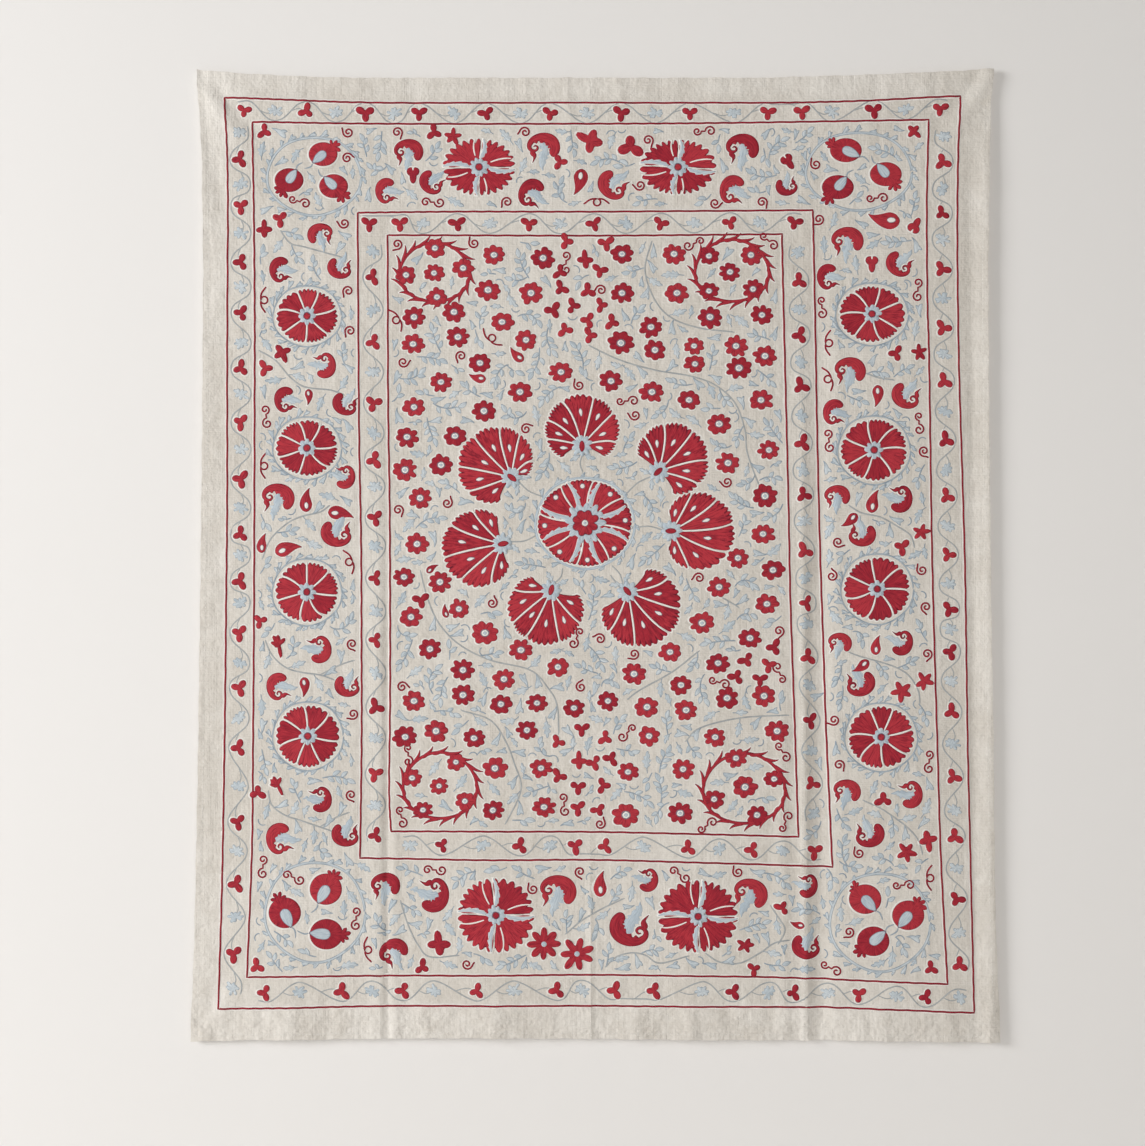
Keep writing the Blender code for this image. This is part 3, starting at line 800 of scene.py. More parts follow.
# The angle and distance of each lobe of a blue leaf
BLUE_LEAF_LOBES = ((0, 6.2), (38, 5.3), (88, 3.2), (140, 5.0), (180, 6.2), (222, 5.0), (272, 3.1),
                   (320, 5.3))
PETAL_SPOT = ((-3.8, 0, 0.3), (-1.6, 0, 1.2), (0.8, 0, 1.75), (2.6, 0, 1.3), (3.9, 0, 0.3))
CALYX_DROP = ((4.5, 0, 0.3), (2.5, 0, 2.3), (-1.0, 0, 3.1), (-4.0, 0, 2.6), (-7.0, 0, 0.6))
# Leaves beside a fan's stem: the start along it in units and as a share of it, the length and the lean
FAN_LEAVES = ((8.0, 0.0, 15.0, 58), (0.0, 0.45, 13.0, 38))
CROWN_WAYS = (-66, -22, 22, 66)
CROWN_PETAL = ((-1.5, 0, 2.4), (1.8, 0, 1.8), (4.8, 0.3, 2.3), (7.0, 0.5, 2.2), (8.8, 0.6, 0.5))
# A drop of length 1 and its spot, and a heart with its notch
DROP_BODY = ((-0.50, 0.02, 0.05), (-0.40, 0.0, 0.21), (-0.20, -0.02, 0.29), (0.02, 0.0, 0.24),
             (0.22, 0.05, 0.15), (0.38, 0.12, 0.07), (0.50, 0.20, 0.01))
DROP_SPOT = ((-0.36, 0, 0.02), (-0.30, 0, 0.07), (-0.18, 0, 0.08), (-0.10, 0, 0.02))
HEART_LOBES = ((140, 3.4, 4.6, 4.4), (220, 3.4, 4.6, 4.4), (0, 3.0, 6.8, 3.6), (0, 0, 3, 3))
HEART_NOTCH = ((-7.0, 0, 1.5), (-5.0, 0, 1.3), (-3.0, 0, 0.4))


def pale_spot(sewn, path):
    """A pale spot along a path on top of red thread, with a dark rim that shows round it."""
    ribbon(sewn["dark_rims"], path, RED_HEIGHT + 0.15, 0.5, 5, 0.6, base=ON_RED)
    ribbon(sewn["pale_spots"], path, RED_HEIGHT + 0.40, 0.6, 5, base=ON_RED)


def lay_leaf(sewn, parts):
    """A blue leaf: a ribbon for each of its parts, each in its own tone."""
    for part in parts:
        ribbon(sewn["blue_leaves"], part, LEAF_HEIGHT, draws.random(), strands=4)


def lobe_ring(count, distance, half_length, half_width, core):
    """Even lobes round a core, each shifted and sized a little differently."""
    rows = [(0.0, 0.0, core, core)]
    for number in range(count):
        angle = 360.0 * number / count + draws.normal(0, 3.0)
        grown = 1 + draws.normal(0, 0.05)
        rows.append((angle, distance * grown, half_length * grown, half_width * (1 + draws.normal(0, 0.06))))
    return rows


def small_flower(sewn, across, down, radius):
    """A red flower of seven or eight round petals, with its pale outline, partly thread and partly painted
    highlight of the puckered cloth, and a blue spot in a white disc that has a dark rim. It is wider than
    high."""
    radius = radius * (1 + draws.normal(0, 0.04))
    count = 8 if draws.random() < 0.65 else 7
    lobes = lobe_ring(count, 0.70, 0.30, 2.2 / count, 0.66)
    theta, reach = lobed_outline(lobes, draws.uniform(0, 360), radius, 6 * count)
    squash = FLOWER_SQUASH + draws.normal(0, 0.03)
    tone = draws.random()
    rim(sewn["outlines"], across, down, theta, reach, OUTLINE_HEIGHT, 0.6, squash=squash)
    patch(sewn["flowers"], across, down, theta, reach, RED_HEIGHT, tone, squash=squash)
    disc(sewn["dark_rims"], across, down, 0.345 * radius, RED_HEIGHT + 0.20, ON_RED, squash=squash)
    disc(sewn["white_rings"], across, down, 0.275 * radius, RED_HEIGHT + 0.40, ON_RED, squash=squash)
    disc(sewn["middles"], across, down, 0.145 * radius, RED_HEIGHT + 0.55, RED_HEIGHT + 0.3, squash=squash)


def leaf_flower(sewn, across, down, lobes, way, size=1.0):
    """A small red flower of three to six leaf-shaped lobes. With six, the first is a long stem."""
    plan = [(0, 0, 2.4, 2.4)]
    for angle, distance, half_length, half_width in LEAF_FLOWER_LOBES[lobes]:
        angle = angle + draws.normal(0, 5)
        plan.append((angle, distance, half_length * (1 + draws.normal(0, 0.08)), half_width))
    theta, reach = lobed_outline(plan, way, size * (1 + draws.normal(0, 0.05)), 30)
    rim(sewn["outlines"], across, down, theta, reach, OUTLINE_HEIGHT, 0.6, width=1.4)
    patch(sewn["red_leaves"], across, down, theta, reach, RED_HEIGHT, draws.random(),
          rings=(0.0, 0.6, 0.88, 1.0))


def star_flower(sewn, across, down, way, count):
    """A red flower of narrow petals round a blue middle."""
    theta, reach = lobed_outline(lobe_ring(count, 0.66, 0.36, 0.22, 0.50), way, 17.0, 64)
    rim(sewn["outlines"], across, down, theta, reach, OUTLINE_HEIGHT, 0.6)
    patch(sewn["red_leaves"], across, down, theta, reach, RED_HEIGHT, draws.random())
    angles = np.linspace(0, 2 * np.pi, 14, endpoint=False)
    patch(sewn["middles"], across, down, angles, np.full(14, 3.6), CENTRE_HEIGHT, 0.5, rings=(0, 0.7, 1))


def blue_leaf_flower(sewn, across, down, way, size=1.0):
    """A blue leaf with eight round lobes, longer than wide."""
    plan = [(0, 0, 5.0, 2.3)]
    for angle, distance in BLUE_LEAF_LOBES:
        plan.append((angle + draws.normal(0, 8), distance * (1 + draws.normal(0, 0.12)), 2.5, 1.8))
    theta, reach = lobed_outline(plan, way, size, 48)
    patch(sewn["blue_leaves"], across, down, theta, reach, LEAF_HEIGHT, draws.random(),
          rings=(0.0, 0.5, 0.8, 1.0))


def carnation_fan(sewn, fan):
    """A fan of toothed petals from a ragged blue calyx with a red drop. Each petal has a pale drop inside."""
    across, down, way = fan.across, fan.down, np.radians(fan.way)
    low, high = np.radians(fan.low), np.radians(fan.high)
    reach = fan_reach(way, fan.front, fan.side)
    shares = np.linspace(-1.0, 1.0, fan.petals + 1)
    sides = way + low + (high - low) * (0.5 + 0.44 * shares + 0.06 * shares**3)
    sides[1:-1] += draws.normal(0, 0.02, fan.petals - 1)
    bends = 0.10 * shares + draws.normal(0, 0.08, fan.petals + 1)
    for number in range(fan.petals):
        pair = (bends[number], bends[number + 1])
        petal(sewn["fans"], sewn["outlines"], across, down, 6.0, reach, sides[number], sides[number + 1],
              pair, int(draws.integers(5, 7)), 3.3, draws.random())
        middle = (sides[number] + sides[number + 1]) / 2 + (pair[0] + pair[1]) * 0.2
        distance = (0.60 + draws.normal(0, 0.03)) * reach(middle)
        spot = turned(PETAL_SPOT, across + distance * np.cos(middle), down + distance * np.sin(middle),
                      np.degrees(middle) + draws.normal(0, 6))
        pale_spot(sewn, smooth_path(spot, 1.2))
        if number:
            divider(sewn["dividers"], across, down, 6.0, reach, sides[number], bends[number],
                    RED_HEIGHT + 0.2, 1.15)
    lobes = lobe_ring(10, 0.74, 0.28, 0.20, 0.74)
    angles, calyx = lobed_outline(lobes, fan.way, 11.3, 60)
    patch(sewn["middles"], across, down, angles, calyx, CENTRE_HEIGHT, 0.5, rings=(0.0, 0.6, 0.86, 1.0))
    red_drop = smooth_path(turned(CALYX_DROP, across, down, fan.way), 1.5)
    base = CENTRE_HEIGHT - 0.1
    ribbon(sewn["dark_rims"], red_drop, CENTRE_HEIGHT + 0.1, 0.5, 5, 0.6, base=base)
    ribbon(sewn["spots"], red_drop, CENTRE_HEIGHT + 0.4, draws.random(), 5, base=base)
    to_across, to_down = MEDALLION[0] - across, MEDALLION[1] - down
    far, back = np.hypot(to_across, to_down), np.degrees(np.arctan2(to_down, to_across))
    stem = smooth_path([(9, 0, 0.9), (0.5 * (far - 41), 2.5, 0.8), (far - 50, 0, 0.8)], 2.0)
    ribbon(sewn["vines"], turned(stem, across, down, back), VINE_HEIGHT, 0.5, strands=3)
    for side in (-1, 1):
        for start, share, length, lean in FAN_LEAVES:
            foot = turned([(start + share * far, 0)], across, down, back)[0]
            lay_leaf(sewn, jagged_leaf(*foot, back + side * (lean + draws.normal(0, 6)), length))


def wheel_rosette(sewn, across, down, half_across, half_down):
    """A round rosette of seven toothed petals with curved dividers, a blue middle and a leafy blue ring."""
    reach = ellipse_reach(half_across, half_down)
    turn = draws.uniform(0, 2 * np.pi)
    sides = turn + 2 * np.pi * np.arange(8) / 7 + np.append(draws.normal(0, 0.04, 7), 0.0)
    sides[7] = sides[0] + 2 * np.pi
    bends = draws.choice([-1, 1]) * 0.10 + draws.normal(0, 0.09, 8)
    bends[7] = bends[0]
    for number in range(7):
        petal(sewn["fans"], sewn["outlines"], across, down, 7.0, reach, sides[number], sides[number + 1],
              (bends[number], bends[number + 1]), int(draws.integers(4, 7)), 2.8, draws.random())
        divider(sewn["dividers"], across, down, 7.0, reach, sides[number], bends[number],
                RED_HEIGHT + 0.2, 1.1)
    blue_middle(sewn, across, down, 8, 10.6)
    leafy_ring(sewn, across, down, half_across + 3.4, half_down + 3.4, 26)


def blue_middle(sewn, across, down, count, radius):
    """The blue middle of a rosette: even lobes, each a little apart, with a red spot that has a dark rim."""
    angles, calyx = lobed_outline(lobe_ring(count, 0.70, 0.31, 2.0 / count, 0.60), 0.0, radius, 6 * count)
    patch(sewn["middles"], across, down, angles, calyx, CENTRE_HEIGHT + 0.2, 0.5, rings=(0.0, 0.5, 0.8, 1.0))
    disc(sewn["dark_rims"], across, down, 4.4, CENTRE_HEIGHT + 0.3, CENTRE_HEIGHT + 0.1)
    disc(sewn["spots"], across, down, 3.6, CENTRE_HEIGHT + 0.5, CENTRE_HEIGHT + 0.1, draws.random())


def leafy_ring(sewn, across, down, half_across, half_down, leaves, wide=0.9, thread="blue_leaves"):
    """A blue ring with hooked leaves that all lean one way, on its outer side."""
    theta = np.linspace(0, 2 * np.pi, 73)
    wobble = 1 + 0.012 * np.sin(5 * theta)
    path = np.stack([across + half_across * wobble * np.cos(theta), down + half_down * wobble * np.sin(theta),
                     np.full(73, wide)], axis=1)
    ribbon(sewn[thread], path, VINE_HEIGHT, 0.5, strands=3)
    for number in range(leaves):
        angle = 2 * np.pi * (number + draws.uniform(-0.25, 0.25)) / leaves
        base = (across + half_across * np.cos(angle), down + half_down * np.sin(angle))
        lean = np.degrees(angle) + draws.uniform(48, 78)
        shape = swallow if draws.random() < 0.7 else jagged_leaf
        lay_leaf(sewn, shape(*base, lean, draws.uniform(8.5, 13.0)))


def bent_line(across, down, way, length, bend, count):
    """Even points along a line that starts one way and turns by the bend, in radians, on its way."""
    out = np.linspace(0.0, 1.0, count)
    angle = np.radians(way) + bend * (out - 0.3)
    step = length / (count - 1)
    run_across = across + np.concatenate([[0.0], np.cumsum(np.cos(angle[:-1]) * step)])
    run_down = down + np.concatenate([[0.0], np.cumsum(np.sin(angle[:-1]) * step)])
    return out, angle, run_across, run_down


def blade(across, down, way, length, half, bend=0.4):
    """The path of a plain leaf from its stem end: a bent line whose half width swells and ends in a point."""
    out, _, run_across, run_down = bent_line(across, down, way, length, draws.normal(0, bend), 7)
    width = 0.30 + half * np.sin(np.pi * out**0.9)
    return np.stack([run_across, run_down, width, width], axis=1)


def jagged_leaf(across, down, way, length):
    """A broad leaf with pointed teeth on both sides that lean forward, on a bent stem."""
    out, _, run_across, run_down = bent_line(across, down, way, length, draws.normal(0, 0.6), 19)
    swell = np.sin(np.pi * np.clip((out - 0.25) / 0.75, 0, 1) ** 0.7) * 0.21 * length
    teeth = max(3.0, length / 4.8)
    sides = [0.55 + swell * (0.30 + 0.85 * ((out * teeth + phase) % 1.0)) for phase in draws.uniform(0, 1, 2)]
    return [np.stack([run_across, run_down, *sides], axis=1)]


def branch(across, down, way, length, pairs, leaf, half, bend):
    """A bent stem with pointed leaves on alternate sides, which bend away from it, and one at its tip."""
    steps = 3 * pairs
    _, angle, run_across, run_down = bent_line(across, down, way, length - leaf * 0.7, bend, steps + 1)
    parts = [np.column_stack([run_across, run_down, np.full((steps + 1, 2), 0.8)])]
    parts.append(blade(run_across[-1], run_down[-1], np.degrees(angle[-1]), leaf, half, 0.5))
    for number in range(1, 2 * pairs):
        hand = 1 if number % 2 else -1
        at = min(1 + int(1.5 * number), steps)
        parts.append(blade(run_across[at], run_down[at], np.degrees(angle[at]) + hand * draws.uniform(32, 58),
                           leaf * draws.uniform(0.75, 1.0), half * 0.9, 0.6))
    return parts


def long_branch(across, down, way, length):
    """A branch with five side leaves."""
    return branch(across, down, way, length, 3, 11.0, 2.6, draws.normal(0, 1.2))


def short_branch(across, down, way, length):
    """A branch with three side leaves."""
    return branch(across, down, way, length, 2, 10.0, 2.5, draws.normal(0, 0.9))


def forked_leaf(across, down, way, length):
    """A short stem with one side leaf and one at its tip."""
    return branch(across, down, way, length, 1, length * 0.58, length * 0.14, draws.normal(0, 0.6))


def swallow(across, down, way, length):
    """A leaf that bends like a hook, with one pointed barb on its outer side."""
    hand = draws.choice([-1, 1])
    bend = hand * draws.uniform(0.7, 1.6)
    out, angle, run_across, run_down = bent_line(across, down, way, length, bend, 11)
    width = 0.6 + 0.14 * length * np.sin(np.pi * out**1.6)
    parts = [np.stack([run_across, run_down, width, width], axis=1)]
    parts.append(blade(run_across[5], run_down[5], np.degrees(angle[5]) - hand * draws.uniform(30, 55),
                       0.45 * length, 0.10 * length))
    return parts


def tendril(across, down, way, length):
    """A thin line that bends evenly to one side."""
    _, _, run_across, run_down = bent_line(across, down, way, length, draws.choice([-1, 1]) * 2.6, 10)
    return [np.column_stack([run_across, run_down, np.full((10, 2), 0.7)])]


def boteh(sewn, across, down, width, way, hand):
    """A hooked leaf: a curved body with teeth in its hollow, and a spiral end with a spur. A blue leaf grows
    from its hollow."""
    body = smooth_path([(f, a, w, w) for f, a, w in BOTEH_BODY], 0.035)
    out = np.linspace(0.0, 1.0, len(body))
    toothed = smooth_step((out - 0.10) / 0.08) * smooth_step((0.58 - out) / 0.08)
    teeth = np.abs(np.sin(np.pi * 11 * out)) ** 1.5
    body[:, 3] += toothed * (0.080 * teeth - 0.045)
    body[:, 2] *= 1.10
    flat = np.array([BOTEH_DEPTH, 1.0, 1.0, 1.0])
    placed = turned(body * flat, across, down, way, width, hand)
    if hand < 0:
        placed[:, [2, 3]] = placed[:, [3, 2]]
    spur = turned(smooth_path(BOTEH_SPUR, 0.05) * flat[:3], across, down, way, width, hand)
    tone = draws.random()
    for shape in (placed, spur):
        ribbon(sewn["outlines"], shape, OUTLINE_HEIGHT, 0.6, strands=4, grow=1.3)
    ribbon(sewn["botehs"], placed, RED_HEIGHT, tone, strands=7)
    ribbon(sewn["botehs"], spur, RED_HEIGHT, tone, strands=5)
    leaf = smooth_path([(f, a, w, w) for f, a, w in BOTEH_LEAF], 0.045)
    leaf[:, 2:] *= 1 + 0.25 * draws.normal(0, 1, (len(leaf), 2))
    leaf = turned(leaf, across, down, way, width, hand)
    ribbon(sewn["boteh_leaves"], leaf, LEAF_HEIGHT + 0.2, draws.random(), strands=5)


def drop(sewn, across, down, length, way):
    """A drop with a bent point: a line whose half width swells near its round end, with a pale spot there."""
    placed = turned(smooth_path(DROP_BODY, 0.08), across, down, way, length)
    ribbon(sewn["outlines"], placed, OUTLINE_HEIGHT, 0.6, grow=1.4)
    ribbon(sewn["botehs"], placed, RED_HEIGHT, draws.random(), strands=5)
    pale_spot(sewn, smooth_path(turned(DROP_SPOT, across, down, way, length), 0.9))


def heart(sewn, across, down, way):
    """A heart: two round lobes and a point, with a pale notch."""
    theta, reach = lobed_outline(HEART_LOBES, way, 1.0, 32)
    rim(sewn["outlines"], across, down, theta, reach, OUTLINE_HEIGHT, 0.6)
    patch(sewn["red_leaves"], across, down, theta, reach, RED_HEIGHT, draws.random())
    notch = smooth_path(turned(HEART_NOTCH, across, down, way), 1.0)
    ribbon(sewn["pale_spots"], notch, DIVIDER_HEIGHT, 0.6, strands=5)


def pomegranate(sewn, across, down, way, radius, squash):
    """A fruit wider than high, with a crown of four small petals spread from its neck on the side it points
    to, a blue drop whose tip touches the other side, and a short bent stem there."""
    theta, reach = lobed_outline([(0, 0, 1, 1)], way, radius, 48)
    tone = draws.random()
    rim(sewn["outlines"], across, down, theta, reach, OUTLINE_HEIGHT, 0.6, squash=squash)
    patch(sewn["red_leaves"], across, down, theta, reach, RED_HEIGHT, tone, squash=squash)
    cos, sin = np.cos(np.radians(way)), np.sin(np.radians(way))
    far = radius / np.hypot(cos, sin / squash)
    neck = (across + 0.88 * far * cos, down + 0.88 * far * sin)
    for spread in CROWN_WAYS:
        size = 1 + draws.normal(0, 0.10)
        small = smooth_path(turned(CROWN_PETAL, *neck, way + spread + draws.normal(0, 6), size), 1.5)
        ribbon(sewn["outlines"], small, OUTLINE_HEIGHT, 0.6, grow=1.1)
        ribbon(sewn["red_leaves"], small, RED_HEIGHT, tone)
    wide = 0.345 * radius * squash**0.5
    tear = [(-0.97 * far, 0, 0.3), (-0.80 * far, 0, 0.45 * wide), (-0.52 * far, 0, 0.87 * wide),
            (-0.15 * far, 0, wide), (0.12 * far, 0, 0.75 * wide), (0.24 * far, 0, 0.15 * wide)]
    tear = smooth_path(turned(tear, across, down, way), 1.6)
    ribbon(sewn["dark_rims"], tear, RED_HEIGHT + 0.1, 0.5, 7, 0.7, base=ON_RED)
    ribbon(sewn["middles"], tear, RED_HEIGHT + 0.35, draws.random(), 7, base=ON_RED)
    stem = [(-0.98 * far, 0, 0.6), (-1.30 * far, 1.6, 0.9), (-1.75 * far, -1.0, 0.6)]
    stem = smooth_path(turned(stem, across, down, way), 2.0)
    ribbon(sewn["blue_leaves"], stem, VINE_HEIGHT, 0.5, strands=3)


def spoke(sewn, across, down, way, inner, outer, half, hand):
    """A blue leaf from near the middle to the rim, on a pale one: it bows to one side and has teeth there."""
    out = np.linspace(0.0, 1.0, 25)
    swell = np.sin(np.pi * (0.10 + 0.88 * out) ** 0.9)
    saw = 0.50 + 0.85 * ((4.4 * (1 - out)) % 1.0)
    plan = np.stack([inner + (outer - inner) * out, 2.6 * np.sin(np.pi * out), 0.4 + half * swell * saw,
                     0.4 + half * 0.60 * swell], axis=1)
    if hand < 0:
        plan[:, [2, 3]] = plan[:, [3, 2]]
    placed = turned(plan, across, down, way, hand=hand)
    ribbon(sewn["dividers"], placed, RED_HEIGHT + 0.10, 0.6, 5, 0.9, base=OUTLINE_HEIGHT)
    ribbon(sewn["middles"], placed, RED_HEIGHT + 0.40, 0.5, 5, base=OUTLINE_HEIGHT)


def jagged_rosette(sewn, across, down, half_across, half_down):
    """A rosette of four jagged quarters. Between them a blue leaf and a pale bowed line beside it make each
    arm of a cross, round a blue middle with a red spot."""
    reach = ellipse_reach(half_across, half_down)
    hand = draws.choice([-1, 1])
    starts = np.pi / 2 * np.arange(5) + np.append(draws.normal(0, 0.06, 4), 0.0)
    starts[4] = starts[0] + 2 * np.pi
    for number in range(4):
        start = starts[number]
        petal(sewn["fans"], sewn["outlines"], across, down, 8.0, reach, start, starts[number + 1], (0.0, 0.0),
              7, 6.0, draws.random(), gap=0.3)
        spoke(sewn, across, down, np.degrees(start) - 3 * hand, 9.0, 0.99 * float(reach(start)), 3.9, -hand)
        divider(sewn["dividers"], across, down, 10.0, reach, start + 0.42 * hand, -0.18 * hand,
                RED_HEIGHT + 0.2, 1.25)
    blue_middle(sewn, across, down, 10, 11.5)


def medallion(sewn):
    """The round medallion: eight scalloped petals parted by pale lines and toothed blue leaves, a scalloped
    blue ring, and a red flower in its middle."""
    across, down = MEDALLION
    reach = ellipse_reach(*MEDALLION_SIZE)
    for number in range(8):
        start = 2 * np.pi * number / 8 + 0.10
        petal(sewn["fans"], sewn["outlines"], across, down, 14.0, reach, start, start + np.pi / 4,
              (0.10, 0.10), 7, 1.3, draws.random(), gap=0.4)
        spoke(sewn, across, down, np.degrees(start) + 17 + draws.normal(0, 2), 16.0, float(reach(start)), 4.4,
              1 if number % 2 else -1)
        divider(sewn["dividers"], across, down, 18.0, reach, start, 0.10, RED_HEIGHT + 0.25, 1.2)
        middle = start + 0.62
        distance = 0.86 * float(reach(middle))
        spot = (across + distance * np.cos(middle), down + distance * np.sin(middle))
        disc(sewn["dark_rims"], *spot, 3.0, RED_HEIGHT + 0.15, ON_RED)
        disc(sewn["pale_spots"], *spot, 2.3, RED_HEIGHT + 0.40, ON_RED, 0.6)
    angles, ring = lobed_outline(lobe_ring(13, 0.80, 0.24, 0.15, 0.78), 0.0, 21.0, 78)
    patch(sewn["middles"], across, down, angles, ring, CENTRE_HEIGHT + 0.2, 0.5)
    angles, flower = lobed_outline(lobe_ring(8, 0.70, 0.30, 0.27, 0.66), 20.0, 13.6, 48)
    patch(sewn["dark_rims"], across, down, angles, flower + 0.8, CENTRE_HEIGHT + 0.3, 0.5, base=CENTRE_HEIGHT)
    patch(sewn["spots"], across, down, angles, flower, CENTRE_HEIGHT + 0.7, 0.5, base=CENTRE_HEIGHT)
    disc(sewn["dark_rims"], across, down, 3.8, CENTRE_HEIGHT + 0.85, CENTRE_HEIGHT + 0.6)
    disc(sewn["white_rings"], across, down, 3.1, CENTRE_HEIGHT + 1.05, CENTRE_HEIGHT + 0.6, 0.6)
    disc(sewn["middles"], across, down, 1.7, CENTRE_HEIGHT + 1.2, CENTRE_HEIGHT + 0.9)
    leafy_ring(sewn, across, down, MEDALLION_SIZE[0] + 2.6, MEDALLION_SIZE[1] + 2.6, 22, wide=1.5,
               thread="middles")


def wreath(sewn, across, down, half_across, half_down):
    """A red ring with long barbs that sweep off its outer side, all clockwise, like a garland of thorns."""
    theta = np.linspace(0, 2 * np.pi, 85)
    wobble = 1 + 0.02 * np.sin(3 * theta)
    ring = np.stack([across + half_across * wobble * np.cos(theta), down + half_down * wobble * np.sin(theta),
                     np.full(85, 1.9)], axis=1)
    ribbon(sewn["outlines"], ring, OUTLINE_HEIGHT, 0.6, grow=1.3, ends=False)
    ribbon(sewn["wreaths"], ring, LINE_HEIGHT, 0.5, strands=5, ends=False)
    for number in range(19):
        angle = 2 * np.pi * number / 19
        length = 13.0 + draws.normal(0, 1.0)
        barb = [(-5, -0.5, 1.0), (-1, 0, 2.3), (length * 0.45, -0.4, 1.9), (length * 0.8, -1.8, 1.1),
                (length, -3.6, 0.3)]
        way = np.degrees(np.arctan2(half_down * np.cos(angle), -half_across * np.sin(angle))) - 14
        placed = turned(barb, across + half_across * np.cos(angle), down + half_down * np.sin(angle), way)
        placed = smooth_path(placed, 2.0)
        ribbon(sewn["outlines"], placed, OUTLINE_HEIGHT, 0.6, grow=1.2)
        ribbon(sewn["wreaths"], placed, LINE_HEIGHT, 0.5, strands=5)


def curl_path(turns, radius, hand, tail):
    """A spiral from its middle out, with its radius growing evenly, and then a tail that leaves it and bends
    away."""
    t = np.linspace(0.0, 1.0, int(14 * turns))
    angle = hand * 2 * np.pi * turns * (t - 1)
    far = radius * (0.12 + 0.88 * t)
    spiral = np.stack([far * np.cos(angle), far * np.sin(angle)], axis=1)
    run = np.linspace(0.0, 1.0, 6)[1:]
    leave = np.stack([radius + 0.25 * tail * run**2, hand * tail * run], axis=1)
    return np.concatenate([spiral, leave])


def curl(sewn, across, down, kind, way):
    """A fine red curl: one spiral, two that share a tail, an S of two, or a bent line with a loop in it."""
    hand = 1 if draws.random() < 0.5 else -1
    if kind == "curl":
        plan = curl_path(1.5, 5.4, hand, 5.0)
    elif kind == "loop":
        turn = np.radians(np.arange(90, 451, 30))
        loop = np.stack([3.6 * np.cos(turn), 3.6 * np.sin(turn)], axis=1)
        start = smooth_path([(-13.0, -4.5), (-7.0, 1.5), (0.0, 3.6)], 2.0)[:-1]
        end = smooth_path([(0.0, 3.6), (6.0, 3.8), (13.0, 0.5)], 2.0)[1:]
        plan = np.concatenate([start, loop, end]) * np.array([1.0, hand])
    else:
        t = np.linspace(0.0, 1.0, 18)
        angle = 2 * np.pi * 1.35 * (t - 1)
        far = 4.8 * (0.15 + 0.85 * t)
        one = np.stack([far * np.cos(angle), far * np.sin(angle)], axis=1)
        one[:, 0] -= 6.5
        two = -one[::-1] * np.array([1.15, 1.15 if kind == "ess" else -1.15])
        if kind == "double":
            one = one * np.array([0.9, -0.9])
        plan = np.concatenate([one, two])
    path = turned(np.column_stack([plan, np.full(len(plan), 1.10)]), across, down, way)
    ribbon(sewn["outlines"], path, OUTLINE_HEIGHT, 0.6, strands=3, grow=0.9)
    ribbon(sewn["curls"], path, LINE_HEIGHT, 0.3, strands=4)


# Borders

def frame_lines(sewn):
    """Each frame is one cord between two pale ones, a little wavy, which goes round all four sides. The pale
    ones are partly thread and partly painted highlight of the puckered cloth.
    """
    for lines in (OUTER_LINES, SECOND_LINES, THIRD_LINES, INNER_LINES):
        sides = [smooth_path(side, 4.0) for side in lines]
        path = np.concatenate([sides[0][:-1], sides[1][:-1], sides[2][:0:-1], sides[3][:0:-1], sides[0][:2]])
        path[1:-1] += 0.16 * np.sin(np.arange(1, len(path) - 1)[:, None] * np.array([0.9, 1.3]))
        path = np.column_stack([path, np.full(len(path), LINE_HALF_WIDTH)])
        ribbon(sewn["outlines"], path, OUTLINE_HEIGHT, 0.6, strands=4, grow=1.3)
        ribbon(sewn["frame_lines"], path, LINE_HEIGHT, 0.3, strands=5)


def between(outer, inner, side, place):
    """The point half way between two frames' lines, at a place along one side."""
    one, two = np.array(getattr(outer, side)), np.array(getattr(inner, side))
    if side in ("top", "bottom"):
        return place, (np.interp(place, one[:, 0], one[:, 1]) + np.interp(place, two[:, 0], two[:, 1])) / 2
    return (np.interp(place, one[:, 1], one[:, 0]) + np.interp(place, two[:, 1], two[:, 0])) / 2, place


def narrow_border(sewn, outer, inner, red, blue):
    """Red and blue leaves in turn on each side, a vine that swings out round the red and in round the blue,
    and short stems from it."""
    for side in Lines._fields:
        reds, blues = getattr(red, side), getattr(blue, side)
        outward = np.array(getattr(OUTWARD, side))
        wave, middles = [], []
        for place, swing in sorted([(p, 1.0) for p in reds] + [(p, -1.0) for p in blues]):
            centre = between(outer, inner, side, place)
            middles.append(centre)
            wave.append(np.array(centre) + outward * swing * WAVE)
        along = np.abs(outward[::-1]) * WAVE_RUN
        vine = smooth_path([(*(turn + step * along), 0.8) for turn in wave for step in (-1, 1)], 3.0)
        ribbon(sewn["vines"], vine, VINE_HEIGHT, 0.5, strands=3)
        for before, turn, end in zip(wave, wave[1:], middles[1:]):
            start, end = (before + turn) / 2, np.array(end)
            bow = (start + end) / 2 + outward * (turn - end).sum() * -0.35
            stem = smooth_path([start, bow, end], 2.5)
            stem = np.column_stack([stem, np.full(len(stem), 0.6)])
            ribbon(sewn["vines"], stem, VINE_HEIGHT - 0.1, 0.5, strands=3)
        for place in reds:
            centre = between(outer, inner, side, place)
            leaf_flower(sewn, *centre, 3, getattr(STEM_WAYS, side) + draws.normal(0, 20), 1.03)
        for place in blues:
            centre = between(outer, inner, side, place)
            blue_leaf_flower(sewn, *centre, draws.normal(0, 30), 0.96)


# Vines and the leaves that fill the ground

